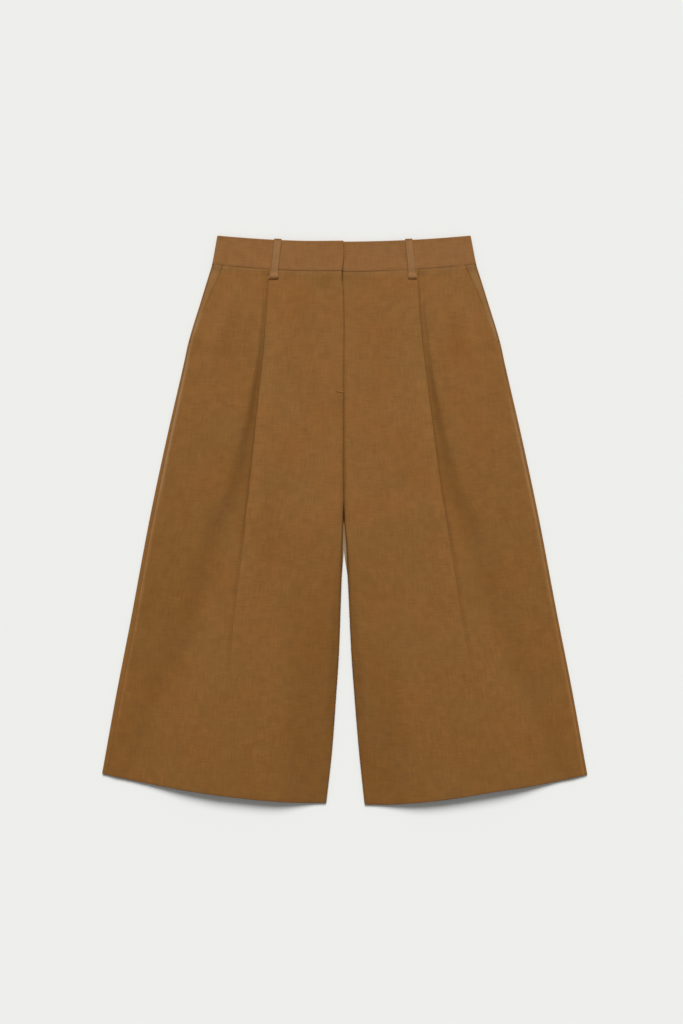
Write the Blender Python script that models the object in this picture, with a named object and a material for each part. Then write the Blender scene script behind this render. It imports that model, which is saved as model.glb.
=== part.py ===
"""Pleated wide-leg bermuda shorts, laid flat: waist towards +Y, front up, underside on z = 0.

Sizes are millimetres and become metres when a mesh is made. "Right" and "left" are the wearer's, so
the right half lies towards -X. Each half is worked out as if it lay towards +X, then mirrored. Its cloth
is a wall around a centre line, drawn in sections from the waist seam (down = 0) to the hem (down = 1).
"""

import math

import bmesh
import bpy
import numpy as np

MM = 0.001

# Lengthwise sizes, from the middle of the piece (y = 0)
HALF_LENGTH = 386.0
WAIST_SEAM_SIDE = 346.8
WAIST_SEAM_MIDDLE = 336.4
BAND_TOP_MIDDLE = 377.8
HEM_INNER = -HALF_LENGTH
HEM_OUTER = -345.0
HEM_STRAIGHTNESS = 0.3
HANGS_FROM = -200.0

# Where things lie down the piece. A pair is where one starts and where it's complete.
FLY_DOWN = 0.224
SEAM_SINKS = (0.34, 0.45)
SEAM_RISES = (0.455, 0.51)
SLIT_OPENS = (0.43, 0.46)
SLIT_CLEARS = (0.53, 0.56)
BACKS_PART = (0.505, 0.60)
BACKS_TURN = (0.56, 0.60)

# Widths of half the piece
BAND_TOP_SIDE = 172.0
BAND_SEAM_SIDE = 179.0
MOUTH_TOP = 163.0
MOUTH_DOWN = 0.1565
FACING_DOWN = 0.14
FACING_UNDER_MOUTH = 28.0
FLY_UNDERLAP = 30.0
BAND_UNDERLAP = 35.0

# Thicknesses and heights
CLOTH = 1.1
BAND = 1.9
LOOP = 1.3
LOOP_END = 2.0
GAP = 0.3
LAYER = CLOTH + GAP
LYING = CLOTH / 2
BACK_LIFT = LOOP + GAP
LIFT_HELD = 14.0
LIFT_ENDS = 70.0
LAP_RISE = 1.7
LAP_RISE_WAIST = 2.85
WAIST_UNDERLAP = 3.75
CENTRE_SEAM_SINKS = 3.9
CENTRE_SEAM_SOFT = 6.0
PLEAT_CLEAR = 3.0

# Steps in each bend
SIDE_TURNS = 4
EDGE_STEPS = 3
PLEAT_STEPS = 3

# Belt loops
LOOP_WIDTH = 10.0
LOOP_BELOW_SEAM = 11.0
LOOP_SLACK = 0.5
LOOP_BEND = 0.5
LOOP_FOOT = 3.4
LOOP_FOOT_ENDS = 4.2
FRONT_LOOPS = {"right": (89.5, 95.0), "left": (88.2, 93.4)}
BACK_LOOP_TOP = 84.0
BACK_LOOP_FOOT = 87.0

# The middle of the waistband's back and front layers, and how far the front one stands over the pleats
BAND_BACK = BACK_LIFT + BAND / 2
BAND_FRONT = BAND_BACK + BAND + GAP
BAND_OVER_PLEAT = 1.2

# Half the width of the piece, the inner edge of each front (at the centre seam, the slit over the crotch,
# then the leg gap), and how far in from the side each side seam lies
OUTLINE = {
    "down": (0.00, 0.07, 0.1565, 0.19, 0.345, 0.50, 0.70, 0.85, 1.00),
    "side": (179.0, 194.0, 212.0, 217.0, 241.5, 264.2, 290.0, 310.2, 329.0),
}
LEG_GAP = {
    "down": (0.430, 0.452, 0.467, 0.486, 0.514, 0.542, 0.618, 0.712, 0.806, 0.900, 1.00),
    "right": (0.15, 0.8, 1.1, 1.3, 1.7, 2.2, 4.0, 6.4, 10.8, 15.9, 23.9),
    "left": (0.15, 0.8, 1.1, 2.0, 3.4, 4.4, 6.9, 10.0, 14.9, 20.6, 28.1),
}
SIDE_ROLL = {
    "down": (0.00, 0.16, 0.24, 0.34, 0.45, 0.60, 0.72, 1.00),
    "right": (1.9, 2.2, 3.0, 4.0, 4.8, 5.2, 6.4, 7.0),
    "left": (1.9, 2.2, 2.9, 3.0, 3.0, 3.0, 3.0, 2.9),
}

# How much further out the left half's side lies than the right one's, and how far each hem hangs below
# an even curve
LEFT_FURTHER = {
    "y": (-386.0, -314.0, -180.0, -42.0, 300.0, 390.0),
    "out": (3.0, 2.4, 2.2, 1.6, 1.4, 0.6),
}
HEM_HANGS = {
    "x": (25.0, 65.0, 130.0, 205.0, 265.0, 330.0),
    "right": (0.0, 1.2, 1.4, 1.4, 1.3, 1.2),
    "left": (2.0, 4.0, 3.3, 1.1, 2.7, 2.8),
}

# The slightly wandering edge of the fly's lap. The lap is sewn into the waist a little higher, up to
# this far from the centre; LAP_ABOVE is a height between the front's layers there and the back's.
LAP_LINE = {
    "y": (178.0, 250.0, 300.0, 312.0, 322.0, 331.0, 338.0, 356.0, 378.0),
    "edge": (0.4, -0.3, 0.2, 0.6, 1.8, 2.3, 1.6, -0.2, 0.4),
}
LAP_HIGHER = 1.1
LAP_HIGHER_FROM = 290.0
LAP_HIGHER_ENDS = 60.0
LAP_ABOVE = 4.0

# How far the cloth stands up around the crotch, where four seams meet
CROTCH_LIFT = {
    "down": (0.00, 0.30, 0.42, 0.479, 0.53, 0.62, 0.75, 1.00),
    "lift": (0.0, 0.2, 2.2, 3.8, 3.2, 1.2, 0.4, 0.0),
}

# How far each half of the front waistband stands above its sides, at places across it
BAND_STANDS = {
    "right": {
        "x": (0.0, 40.0, 92.0, 116.0, 150.0, 176.0),
        "over": (2.2, 2.2, 1.3, 0.45, 0.4, 0.0),
        "drawn": (0.0, 18.0, 40.0, 57.0, 75.0, 90.0, 100.0, 116.0, 143.0, 161.0),
    },
    "left": {
        "x": (-36.0, 3.0, 36.0, 76.0, 92.0, 116.0, 150.0, 176.0),
        "over": (0.0, 0.0, 0.7, 1.1, 1.2, 0.35, 0.4, 0.0),
        "drawn": (-35.0, -9.0, 3.0, 14.0, 36.0, 57.0, 75.0, 92.0, 116.0, 143.0, 161.0),
    },
}

# A row for each place down the leg: where the pleat's edge (and below it the pressed crease) and the
# soft valley outside it lie, how far out from the valley the cloth is up again, how deep the pleat folds
# under, how far and how wide it bends, and the heights of the cloth's middle under the pleat, in the
# valley, on the outer leg and on the inner leg.
FOLD_COLUMNS = (
    "down", "crease_right", "crease_left", "valley", "rise", "pleat", "turn",
    "bend", "under", "dip", "outer", "inner",
)
FOLD_ROWS = (
    (0.000, 101.5, 100.0, 104.5, 16.0, 18.0, 180.0, 0.70, 3.55, 3.70, 4.95, 5.60),
    (0.070, 105.0, 102.3, 106.5, 5.0, 17.0, 180.0, 0.80, 3.20, 3.10, 5.20, 5.30),
    (0.157, 109.5, 108.0, 111.5, 8.0, 15.0, 180.0, 1.00, 2.50, 2.30, 5.70, 5.30),
    (0.240, 116.0, 115.5, 118.5, 10.0, 12.0, 180.0, 1.25, 2.10, 1.95, 6.60, 5.40),
    (0.345, 123.7, 125.0, 130.0, 18.0, 8.0, 180.0, 1.45, 2.00, 1.95, 7.40, 5.40),
    (0.430, 130.3, 133.5, 141.0, 27.0, 4.0, 180.0, 1.50, 2.20, 2.00, 7.40, 5.40),
    (0.500, 136.7, 142.5, 162.0, 30.0, 1.0, 110.0, 1.00, 3.30, 2.30, 7.00, 5.60),
    (0.580, 144.0, 152.3, 176.0, 34.0, 0.8, 75.0, 0.60, 6.10, 2.80, 6.70, 6.20),
    (0.640, 149.5, 158.3, 190.0, 36.0, 0.8, 60.0, 0.50, 7.50, 3.00, 6.40, 7.00),
    (0.740, 156.0, 170.5, 213.0, 38.0, 0.8, 40.0, 0.40, 9.60, 3.20, 6.20, 8.80),
    (0.860, 161.0, 183.0, 253.0, 28.0, 0.8, 0.0, 0.40, 11.8, 3.80, 5.60, 11.2),
    (1.000, 166.0, 199.0, 296.0, 14.0, 0.8, 0.0, 0.40, 14.0, 4.20, 4.50, 13.0),
)
FOLDS = {name: column for name, column in zip(FOLD_COLUMNS, zip(*FOLD_ROWS))}

SECTIONS = (
    0.0, 0.01, 0.02, 0.035, 0.07, 0.11, 0.14, 0.157, 0.176, 0.2, 0.224, 0.27, 0.32, 0.37, 0.41, 0.43, 0.45,
    0.467, 0.486, 0.51, 0.535, 0.56, 0.585, 0.61, 0.65, 0.7, 0.76, 0.82, 0.88, 0.94, 1.0,
)

WOOL_BROWN = (0.231, 0.105, 0.031)
BAND_BROWN = (0.262, 0.125, 0.042)


def through(table, column, down):
    """A smooth value between the rows of a table, with no overshoot."""
    x = np.array(table["down"])
    y = np.array(table[column])
    width = np.diff(x)
    slope = np.diff(y) / width
    rate = np.concatenate(([slope[0]], np.zeros(len(x) - 2), [slope[-1]]))
    for i in range(1, len(x) - 1):
        if slope[i - 1] * slope[i] > 0:
            rate[i] = 2 * slope[i - 1] * slope[i] / (slope[i - 1] + slope[i])
    down = min(max(down, x[0]), x[-1])
    i = min(int(np.searchsorted(x, down, side="right")) - 1, len(x) - 2)
    t = (down - x[i]) / width[i]
    start = (1 + 2 * t) * (1 - t) ** 2 * y[i] + t * (1 - t) ** 2 * width[i] * rate[i]
    end = t * t * (3 - 2 * t) * y[i + 1] + t * t * (t - 1) * width[i] * rate[i + 1]
    return float(start + end)


def between(places, heights, x):
    """The same smooth value across one section, through its few named heights."""
    return through({"down": places, "height": heights}, "height", x)


def spread(start, end, shares):
    """Places at these shares of the way from start to end."""
    return [start + share * (end - start) for share in shares]


def ease(low, high, value):
    """0 up to low, 1 from high, with soft ends."""
    t = min(max((value - low) / (high - low), 0.0), 1.0)
    return t * t * (3 - 2 * t)


def side_of(down):
    return through(OUTLINE, "side", down)


def inside_of(down, right):
    return through(LEG_GAP, "right" if right else "left", down)


def back_inside_of(down, right):
    """Where a back's inner edge lies: the backs stay together a little further down than the fronts."""
    joined = inside_of(0.0, right)
    return joined + (inside_of(down, right) - joined) * ease(*BACKS_PART, down)


def seam_line(down, right):
    return side_of(down) - through(SIDE_ROLL, "right" if right else "left", down)


def mouth_line(down):
    """Where the slant pocket's edge lies."""
    return MOUTH_TOP + (seam_line(MOUTH_DOWN, True) - GAP - MOUTH_TOP) * down / MOUTH_DOWN


def along(x, down):
    """The y of a point at this x on the curved line that lies this far down the piece."""
    inner = WAIST_SEAM_MIDDLE + (HEM_INNER - WAIST_SEAM_MIDDLE) * down
    outer = WAIST_SEAM_SIDE + (HEM_OUTER - WAIST_SEAM_SIDE) * down
    inside = (inside_of(down, True) + inside_of(down, False)) / 2
    across = abs(x - inside) / (side_of(down) - inside)
    straight = HEM_STRAIGHTNESS * down
    return inner + (outer - inner) * across * (straight + (1 - straight) * across)


def lap_edge(y):
    return between(LAP_LINE["y"], LAP_LINE["edge"], y)


def laid(x, y, z, right):
    """Where a point of an even half really lies.

    The left leg lies a little further out, each hem hangs unevenly, and the lap is sewn in higher.
    """
    hem = between(HEM_HANGS["x"], HEM_HANGS["right" if right else "left"], x)
    hem *= ease(HANGS_FROM, HEM_INNER, y)
    further = 0.0
    if not right:
        down = (WAIST_SEAM_MIDDLE - y) / (WAIST_SEAM_MIDDLE - HEM_INNER)
        share = min(max(x / side_of(down), 0.0), 1.0)
        further = share * between(LEFT_FURTHER["y"], LEFT_FURTHER["out"], y)
    higher = 0.0
    if right and z > LAP_ABOVE:
        higher = LAP_HIGHER * ease(LAP_HIGHER_FROM, WAIST_SEAM_MIDDLE, y)
        higher *= 1 - ease(0.0, LAP_HIGHER_ENDS, x)
    return x + further, y - hem + higher


def band_top(x):
    return BAND_TOP_MIDDLE + (HALF_LENGTH - BAND_TOP_MIDDLE) * (x / BAND_TOP_SIDE) ** 2


def back_height(x, down):
    """The middle of the back's cloth: flat on the surface, lifted over the loops at the waist."""
    below_seam = along(x, 0.0) - along(x, down)
    return LYING + BACK_LIFT * (1 - ease(LIFT_HELD, LIFT_ENDS, below_seam))


def side_height(down):
    """The middle of the cloth where the front or the facing meets the side seam."""
    return back_height(side_of(down), down) + LAYER * (1 + ease(0.0, 0.1, down))


def front_edge_height(down):
    """The middle of the front's cloth beside the centre seam and the inseam."""
    flat = LYING + 2 * LAYER + (WAIST_UNDERLAP - LYING - 2 * LAYER) * (1 - ease(0.0, 0.12, down))
    return flat + through(CROTCH_LIFT, "lift", down)


def front_seam_height(down):
    """The middle of the front's cloth at the seam itself, which sinks between the legs' lifted sides."""
    sunk = CENTRE_SEAM_SINKS * ease(*SEAM_SINKS, down) * (1 - ease(*SEAM_RISES, down))
    return front_edge_height(down) - sunk


def lap_rise(down):
    """How far the right front rises over the left one at the fly."""
    rise = LAP_RISE_WAIST + (LAP_RISE - LAP_RISE_WAIST) * ease(0.0, 0.1, down)
    return rise * (1 - ease(FLY_DOWN, FLY_DOWN + 0.06, down))


def walked(start, heading, turn, step, count):
    """Points on from start, in equal steps that share one turn between them. Angles are degrees."""
    x, z = start
    points = []
    for k in range(count):
        angle = math.radians(heading + turn * (k + 0.5) / count)
        x += step * math.cos(angle)
        z += step * math.sin(angle)
        points.append((x, z))
    return points


def inner_edge(inside, level, other, turned, falls):
    """The edge at the centre seam or, where turned is 1, the one that turns towards the other panel.

    Where falls is 0 it goes half way to the other panel's edge, and where falls is 1 down to its face.
    """
    turn = 90.0 * turned
    rise_per_step = sum(math.sin(math.radians(90 * (k + 0.5) / EDGE_STEPS)) for k in range(EDGE_STEPS))
    half = (abs(level - other) - GAP) / 2
    step = (half + falls * (half - LYING)) / rise_per_step
    up = 1 if level > other else -1
    path = walked((0.0, 0.0), up * turn, -up * turn, step, EDGE_STEPS)
    x0 = inside + LYING * math.sin(math.radians(turn))
    z0 = level - path[-1][1]
    return [(x0, z0)] + [(x0 + x, z0 + z) for x, z in path]


def back_section(down, right):
    """The centre line of a back, from its inner edge, round the side and onto the front."""
    side = side_of(down)
    low = back_height(side, down)
    radius = (side_height(down) - low) / 2
    inside = back_inside_of(down, right)
    level = back_height(inside, down)
    points = inner_edge(inside, level, front_seam_height(down), ease(*BACKS_TURN, down), 0.0)
    turn_in = side - LYING - radius
    for x in spread(points[-1][0], turn_in, (0.15, 0.35, 0.55, 0.75, 0.9)):
        points.append((x, back_height(x, down)))
    points.append((turn_in, low))
    step = 2 * radius * math.sin(math.pi / 2 / SIDE_TURNS)
    points += walked((turn_in, low), 0.0, 180.0, step, SIDE_TURNS)
    points.append((seam_line(down, right), side_height(down)))
    return points


def pleat_path(down):
    """The pleat from the top layer's end, round its edge, under it and back out."""
    turn = through(FOLDS, "turn", down)
    step = through(FOLDS, "bend", down)
    out = walked((0.0, 0.0), 0.0, -turn, step, PLEAT_STEPS)
    back = walked(out[-1], -turn, 0.0, through(FOLDS, "pleat", down), 1)
    return [(0.0, 0.0)] + out + back + walked(back[-1], -turn, turn, step, PLEAT_STEPS)


def front_section(down, right):
    """The centre line of a front, from its centre seam through the pleat to the side seam or mouth."""
    crease = through(FOLDS, "crease_right" if right else "crease_left", down)
    depth = through(FOLDS, "pleat", down)
    pleat = pleat_path(down)
    reach = max(x for x, z in pleat) + LYING
    under = through(FOLDS, "under", down)
    top = (crease - reach, under - pleat[-1][1])
    folded = through(FOLDS, "turn", down) / 180.0
    stack = top[0] - (depth + PLEAT_CLEAR) * folded - 2 * LYING * (1 - folded)
    level = front_edge_height(down)
    seam_level = front_seam_height(down)
    lap = 1 - ease(FLY_DOWN - 0.03, FLY_DOWN, down)
    inside = inside_of(down, right)
    if right:
        inside += (lap_edge(along(0.0, down)) - inside) * lap
        level += lap_rise(down)
        seam_level += lap_rise(down)
    else:
        inside -= FLY_UNDERLAP * lap
    turned = ease(*SLIT_OPENS, down)
    falls = turned * (1 - ease(*SLIT_CLEARS, down))
    points = inner_edge(inside, seam_level, back_height(0.0, down), turned, falls)
    start = points[-1][0]
    held = start + CENTRE_SEAM_SOFT
    if right and lap > 0:
        held = FLY_UNDERLAP + CENTRE_SEAM_SOFT
    shoulder = held + 0.5 * (stack - held)
    places = (start, held, shoulder, stack)
    heights = (seam_level, level, max(level, through(FOLDS, "inner", down)), top[1])
    drawn = spread(held, shoulder, (0.0, 0.35, 0.7)) + spread(shoulder, stack, (0.0, 0.5, 1.0))
    points += [(x, between(places, heights, x)) for x in drawn]
    points += [(top[0] + x, top[1] + z) for x, z in pleat]

    edge = mouth_line(down) if down < MOUTH_DOWN else seam_line(down, right) - GAP
    edge_level = side_height(down) + LAYER * (1 - ease(FACING_DOWN, FACING_DOWN + 0.036, down))
    pleat_end = points[-1][0]
    begin = max(pleat_end, crease) + 0.5
    valley = min(max(through(FOLDS, "valley", down), begin + 1.5), edge - 8.0)
    risen = min(valley + through(FOLDS, "rise", down), edge - 3.0)
    outer = through(FOLDS, "outer", down)
    places = (pleat_end, begin, valley, risen, risen + 0.4 * (edge - risen), edge)
    outer_side = outer + 0.35 * (edge_level - outer)
    heights = (under, under, through(FOLDS, "dip", down), outer, outer_side, edge_level)
    drawn = spread(begin, valley, (0.0, 0.5)) + spread(valley, risen, (0.0, 0.35, 0.65))
    drawn += spread(risen, edge, (0.0, 0.4, 1.0))
    return points + [(x, between(places, heights, x)) for x in drawn]


def facing_section(down, right):
    """The centre line of a pocket facing, from under the mouth out to the side seam."""
    inner = mouth_line(down) - FACING_UNDER_MOUTH
    outer = seam_line(down, right) - GAP
    return [(x, side_height(down)) for x in spread(inner, outer, (0.0, 0.3, 0.6, 0.85, 1.0))]


def offsets(section, thickness):
    """The two faces of a wall around a centre line of (x, z) points, with mitred bends."""
    line = np.array(section)
    run = np.diff(line, axis=0)
    run /= np.linalg.norm(run, axis=1)[:, None]
    normal = np.stack((-run[:, 1], run[:, 0]), axis=1)
    first = np.vstack((normal[:1], normal))
    second = np.vstack((normal, normal[-1:]))
    mitre = (first + second) / (1 + (first * second).sum(axis=1))[:, None]
    return line + mitre * thickness / 2, line - mitre * thickness / 2


def placed(bm, x, y, z, right):
    """A vertex of a half, from its even place there in millimetres."""
    x, y = laid(x, y, z, right)
    return bm.verts.new((-x * MM if right else x * MM, y * MM, z * MM))


def wall(name, sections, thickness, right, colour):
    """One closed wall through sections of (centre line, y of each of its points)."""
    bm = bmesh.new()
    rings = []
    for line, ys in sections:
        upper, lower = offsets(line, thickness)
        around = list(zip(upper, ys)) + list(zip(lower, ys))[::-1]
        rings.append([placed(bm, x, y, z, right) for (x, z), y in around])
    count = len(rings[0])
    for above, below in zip(rings, rings[1:]):
        for j in range(count):
            k = (j + 1) % count
            bm.faces.new((above[j], below[j], below[k], above[k]))
    for ring in (rings[0], rings[-1]):
        for j in range(count // 2 - 1):
            bm.faces.new((ring[j], ring[j + 1], ring[count - 2 - j], ring[count - 1 - j]))
    return finished(name, bm, colour)


def finished(name, bm, colour):
    """The object of a closed mesh, with its faces turned out and its own cloth material."""
    bmesh.ops.recalc_face_normals(bm, faces=bm.faces)
    mesh = bpy.data.meshes.new(name)
    bm.to_mesh(mesh)
    bm.free()
    material = bpy.data.materials.new(name + "_cloth")
    material.use_nodes = True
    shader = material.node_tree.nodes["Principled BSDF"]
    shader.inputs["Base Color"].default_value = (*colour, 1.0)
    shader.inputs["Roughness"].default_value = 0.85
    shader.inputs["Metallic"].default_value = 0.0
    mesh.materials.append(material)
    made = bpy.data.objects.new(name, mesh)
    bpy.context.scene.collection.objects.link(made)
    return made


def panel(name, section_of, downs, right):
    """A panel of the leg: a wall through its sections."""
    sections = []
    for down in downs:
        line = section_of(down, right)
        sections.append((line, [along(x, down) for x, z in line]))
    return wall(name, sections, CLOTH, right, WOOL_BROWN)


def bridged(bm, rings):
    """The skin through rings of four corners, closed at both ends."""
    for near, far in zip(rings, rings[1:]):
        for j in range(4):
            k = (j + 1) % 4
            bm.faces.new((near[j], near[k], far[k], far[j]))
    bm.faces.new(rings[0])
    bm.faces.new(rings[-1])


def waistband(name, right):
    """Half a waistband: a flat band through upright sections, folded round the side."""
    stands = BAND_STANDS["right" if right else "left"]
    front = [(x, BAND_FRONT + between(stands["x"], stands["over"], x)) for x in stands["drawn"]]
    radius = (BAND_FRONT - BAND_BACK) / 2
    step = 2 * radius * math.sin(math.pi / 2 / SIDE_TURNS)
    turned = walked((0.0, BAND_FRONT), 0.0, -180.0, step, SIDE_TURNS)
    reach = max(x for x, z in turned) + BAND / 2
    # Each station: share of the half width, distance from there, height
    stations = [(x / BAND_SEAM_SIDE, 0.0, z) for x, z in front]
    stations += [(1.0, x - reach, z) for x, z in [(0.0, BAND_FRONT)] + turned]
    stations += [(share, 0.0, BAND_BACK) for share in spread(0.8, 0.2, (0.0, 0.33, 0.67, 1.0))]
    stations.append((GAP / 2 / BAND_SEAM_SIDE, 0.0, BAND_BACK))
    bm = bmesh.new()
    rings = []
    low_line = [(share * BAND_SEAM_SIDE + dx, z) for share, dx, z in stations]
    top_line = [(share * BAND_TOP_SIDE + dx, z) for share, dx, z in stations]
    low_faces = offsets(low_line, BAND)
    top_faces = offsets(top_line, BAND)
    for i in range(len(stations)):
        share = abs(stations[i][0])
        low_y = along(share * BAND_SEAM_SIDE, 0.0) + GAP
        top_y = band_top(share * BAND_TOP_SIDE)
        ring = [
            (low_faces[0][i], low_y),
            (top_faces[0][i], top_y),
            (top_faces[1][i], top_y),
            (low_faces[1][i], low_y),
        ]
        if right and i == 0:
            ring = [((lap_edge(y), z), y) for (x, z), y in ring]
        rings.append([placed(bm, x, y, z, right) for (x, z), y in ring])
    bridged(bm, rings)
    return finished(name, bm, BAND_BROWN)


def belt_loop(name, top_x, foot_x, levels, outward):
    """A belt loop: a strip on the band's outer face. A front one turns over the band's top edge.

    outward is 1 on the front and -1 on the back. levels holds the height of what the loop lies on at its
    foot and of the band's outer face.
    """
    foot_level, band_level = levels
    foot_thick = LOOP_END if outward > 0 else LOOP
    slack = LOOP_SLACK if outward > 0 else 0.0
    foot_z = foot_level + outward * (GAP + foot_thick / 2)
    low_z = foot_level + outward * (GAP + LOOP / 2)
    band_z = band_level + outward * (GAP + LOOP / 2)
    # Each row: share of the way from the foot to the turn, y from there, z, thickness
    line = (
        (0.0, 0.0, foot_z, foot_thick),
        (0.0, LOOP_FOOT, foot_z, foot_thick),
        (0.0, LOOP_FOOT_ENDS, low_z, LOOP),
        (0.3, 0.0, band_z + outward * slack, LOOP),
        (0.7, 0.0, band_z + outward * slack, LOOP),
        (1.0, -4.0, band_z + outward * slack / 2, LOOP),
    )
    if outward > 0:
        line += (
            (1.0, -LOOP_BEND, band_z, LOOP),
            (1.0, 0.0, band_z - LOOP_BEND, LOOP),
            (1.0, 0.0, band_level - BAND, LOOP),
        )

    def y_at(x, share, beyond):
        foot = along(abs(x), 0.0) - LOOP_BELOW_SEAM
        turn = band_top(abs(x)) + GAP + LOOP / 2
        return foot + (turn - foot) * share + beyond

    middle = [(y_at(top_x, share, beyond), z) for share, beyond, z, thick in line]
    length = middle[-1][0] - middle[0][0]
    outer, inner = offsets(middle, 1.0)
    bm = bmesh.new()
    rings = []
    for i, (share, beyond, z, thick) in enumerate(line):
        centre = foot_x + (top_x - foot_x) * (middle[i][0] - middle[0][0]) / length
        reach_y, reach_z = (outer[i] - inner[i]) * outward * thick / 2
        ring = []
        for across, out in ((-1, 1), (1, 1), (1, -1), (-1, -1)):
            x = centre + across * LOOP_WIDTH / 2
            point = (x, y_at(x, share, beyond) + out * reach_y, z + out * reach_z)
            ring.append(bm.verts.new([value * MM for value in point]))
        rings.append(ring)
    bridged(bm, rings)
    return finished(name, bm, BAND_BROWN)


def build():
    for old in list(bpy.data.objects):
        bpy.data.objects.remove(old)
    for half, right in (("right", True), ("left", False)):
        panel("back_" + half, back_section, SECTIONS, right)
        panel("front_" + half, front_section, SECTIONS, right)
        pocket = [down for down in SECTIONS if down <= FACING_DOWN]
        panel("pocket_facing_" + half, facing_section, pocket, right)
        waistband("waistband_" + half, right)

    front_levels = (
        FOLDS["under"][0] - pleat_path(0.0)[-1][1] + CLOTH / 2,
        BAND_FRONT + BAND_OVER_PLEAT + BAND / 2,
    )
    back_levels = (BACK_LIFT, BACK_LIFT)
    for half, sign in (("right", -1), ("left", 1)):
        top, foot = FRONT_LOOPS[half]
        belt_loop("belt_loop_front_" + half, sign * top, sign * foot, front_levels, 1)
        top, foot = sign * BACK_LOOP_TOP, sign * BACK_LOOP_FOOT
        belt_loop("belt_loop_back_" + half, top, foot, back_levels, -1)
    belt_loop("belt_loop_centre_back", 0.0, 0.0, back_levels, -1)


build()
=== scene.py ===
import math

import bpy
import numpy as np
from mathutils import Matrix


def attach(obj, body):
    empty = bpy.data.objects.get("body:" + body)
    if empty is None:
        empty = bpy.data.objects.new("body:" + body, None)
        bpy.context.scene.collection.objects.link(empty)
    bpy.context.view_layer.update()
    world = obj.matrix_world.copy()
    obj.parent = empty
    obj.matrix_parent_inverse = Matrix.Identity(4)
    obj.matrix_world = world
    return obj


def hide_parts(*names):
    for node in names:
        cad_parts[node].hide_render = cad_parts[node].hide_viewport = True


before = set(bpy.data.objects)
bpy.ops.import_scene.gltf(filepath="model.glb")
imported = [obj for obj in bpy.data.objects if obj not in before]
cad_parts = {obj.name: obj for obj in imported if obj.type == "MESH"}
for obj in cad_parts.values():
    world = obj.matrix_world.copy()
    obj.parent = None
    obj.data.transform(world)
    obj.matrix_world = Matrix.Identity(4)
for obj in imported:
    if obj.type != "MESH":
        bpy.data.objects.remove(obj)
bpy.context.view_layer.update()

# Pleated wide-leg bermuda shorts, laid flat and front up: the cloth, its seams and its light.
#
# Sizes are millimetres and become metres when a mesh is made. "Right" and "left" are the wearer's. Each
# half is worked out towards +X, then the right one is mirrored. A panel is a grid of points: a row for
# each place down the leg (0 at the waist seam, 1 at the hem), from its inner edge to its outer one, and
# its cloth is a thin shell around that grid.

MM = 0.001

# ---- Sizes shared with the solids ----
HALF_LENGTH = 386.0
WAIST_SEAM_SIDE = 346.8
WAIST_SEAM_MIDDLE = 336.4
BAND_TOP_MIDDLE = 377.8
HEM_INNER = -HALF_LENGTH
HEM_OUTER = -345.0
HEM_STRAIGHTNESS = 0.3
HANGS_FROM = -200.0

# Where things lie down the piece. A pair is where one starts and where it's complete.
FLY_DOWN = 0.224
MOUTH_DOWN = 0.1565
FACING_DOWN = 0.14
WAIST_UNSTACKS = (0.0, 0.1)
EDGE_SETTLES = (0.0, 0.12)
MOUTH_FOLDS = (MOUTH_DOWN, MOUTH_DOWN - 0.012)
FACING_ENDS = (FACING_DOWN, FACING_DOWN + 0.036)
LAP_ENDS = (FLY_DOWN - 0.03, FLY_DOWN)
LAP_SETTLES = (FLY_DOWN, FLY_DOWN + 0.06)
SEAM_SINKS = (0.34, 0.45)
SEAM_RISES = (0.455, 0.51)
SLIT_OPENS = (0.43, 0.46)
SLIT_CLEARS = (0.53, 0.56)
BACKS_PART = (0.508, 0.58)
BACKS_TURN = (0.56, 0.60)

# Widths of half the piece
BAND_TOP_SIDE = 172.0
BAND_SEAM_SIDE = 179.0
MOUTH_TOP = 163.0
FACING_UNDER_MOUTH = 28.0
FLY_UNDERLAP = 30.0
BAND_UNDERLAP = 35.0

# Thicknesses and heights
LAYER = 1.4
LYING = 0.55
BAND_THICK = 1.9
LOOP_THICK = 1.3
SEAM_GAP = 0.3
BACK_LIFT = LOOP_THICK + SEAM_GAP
LIFT_ENDS = (14.0, 70.0)
LAP_RISE = 1.7
LAP_RISE_WAIST = 2.85
WAIST_UNDERLAP = 3.75
CENTRE_SEAM_SINKS = 3.9
PLEAT_CLEAR = 3.0

# Belt loops. The pairs are the x of a loop's top and of its foot.
LOOP_SLACK = 0.5
LOOP_PRESSED = 0.88
FOOT_EXTRA = 0.7
LOOP_BELOW_SEAM = 11.0
FRONT_LOOPS = {"right": (89.5, 95), "left": (88.2, 93.4)}
BACK_LOOPS = (84.0, 87.0)

# The middle of the waistband's back and front layers, and how far the front one stands above its sides
BAND_BACK = BACK_LIFT + BAND_THICK / 2
BAND_FRONT = BAND_BACK + BAND_THICK + SEAM_GAP
BAND_OVER_PLEAT = 1.2
BAND_FACE = BAND_FRONT + BAND_OVER_PLEAT + BAND_THICK / 2
PLEAT_FACE = 6.78
BAND_STANDS = {
    "right": {"x": (0, 40, 92, 116, 150, 176), "over": (2.2, 2.2, 1.3, 0.45, 0.4, 0)},
    "left": {"x": (-36, 3, 36, 76, 92, 116, 150, 176), "over": (0, 0, 0.7, 1.1, 1.2, 0.35, 0.4, 0)},
}

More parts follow.
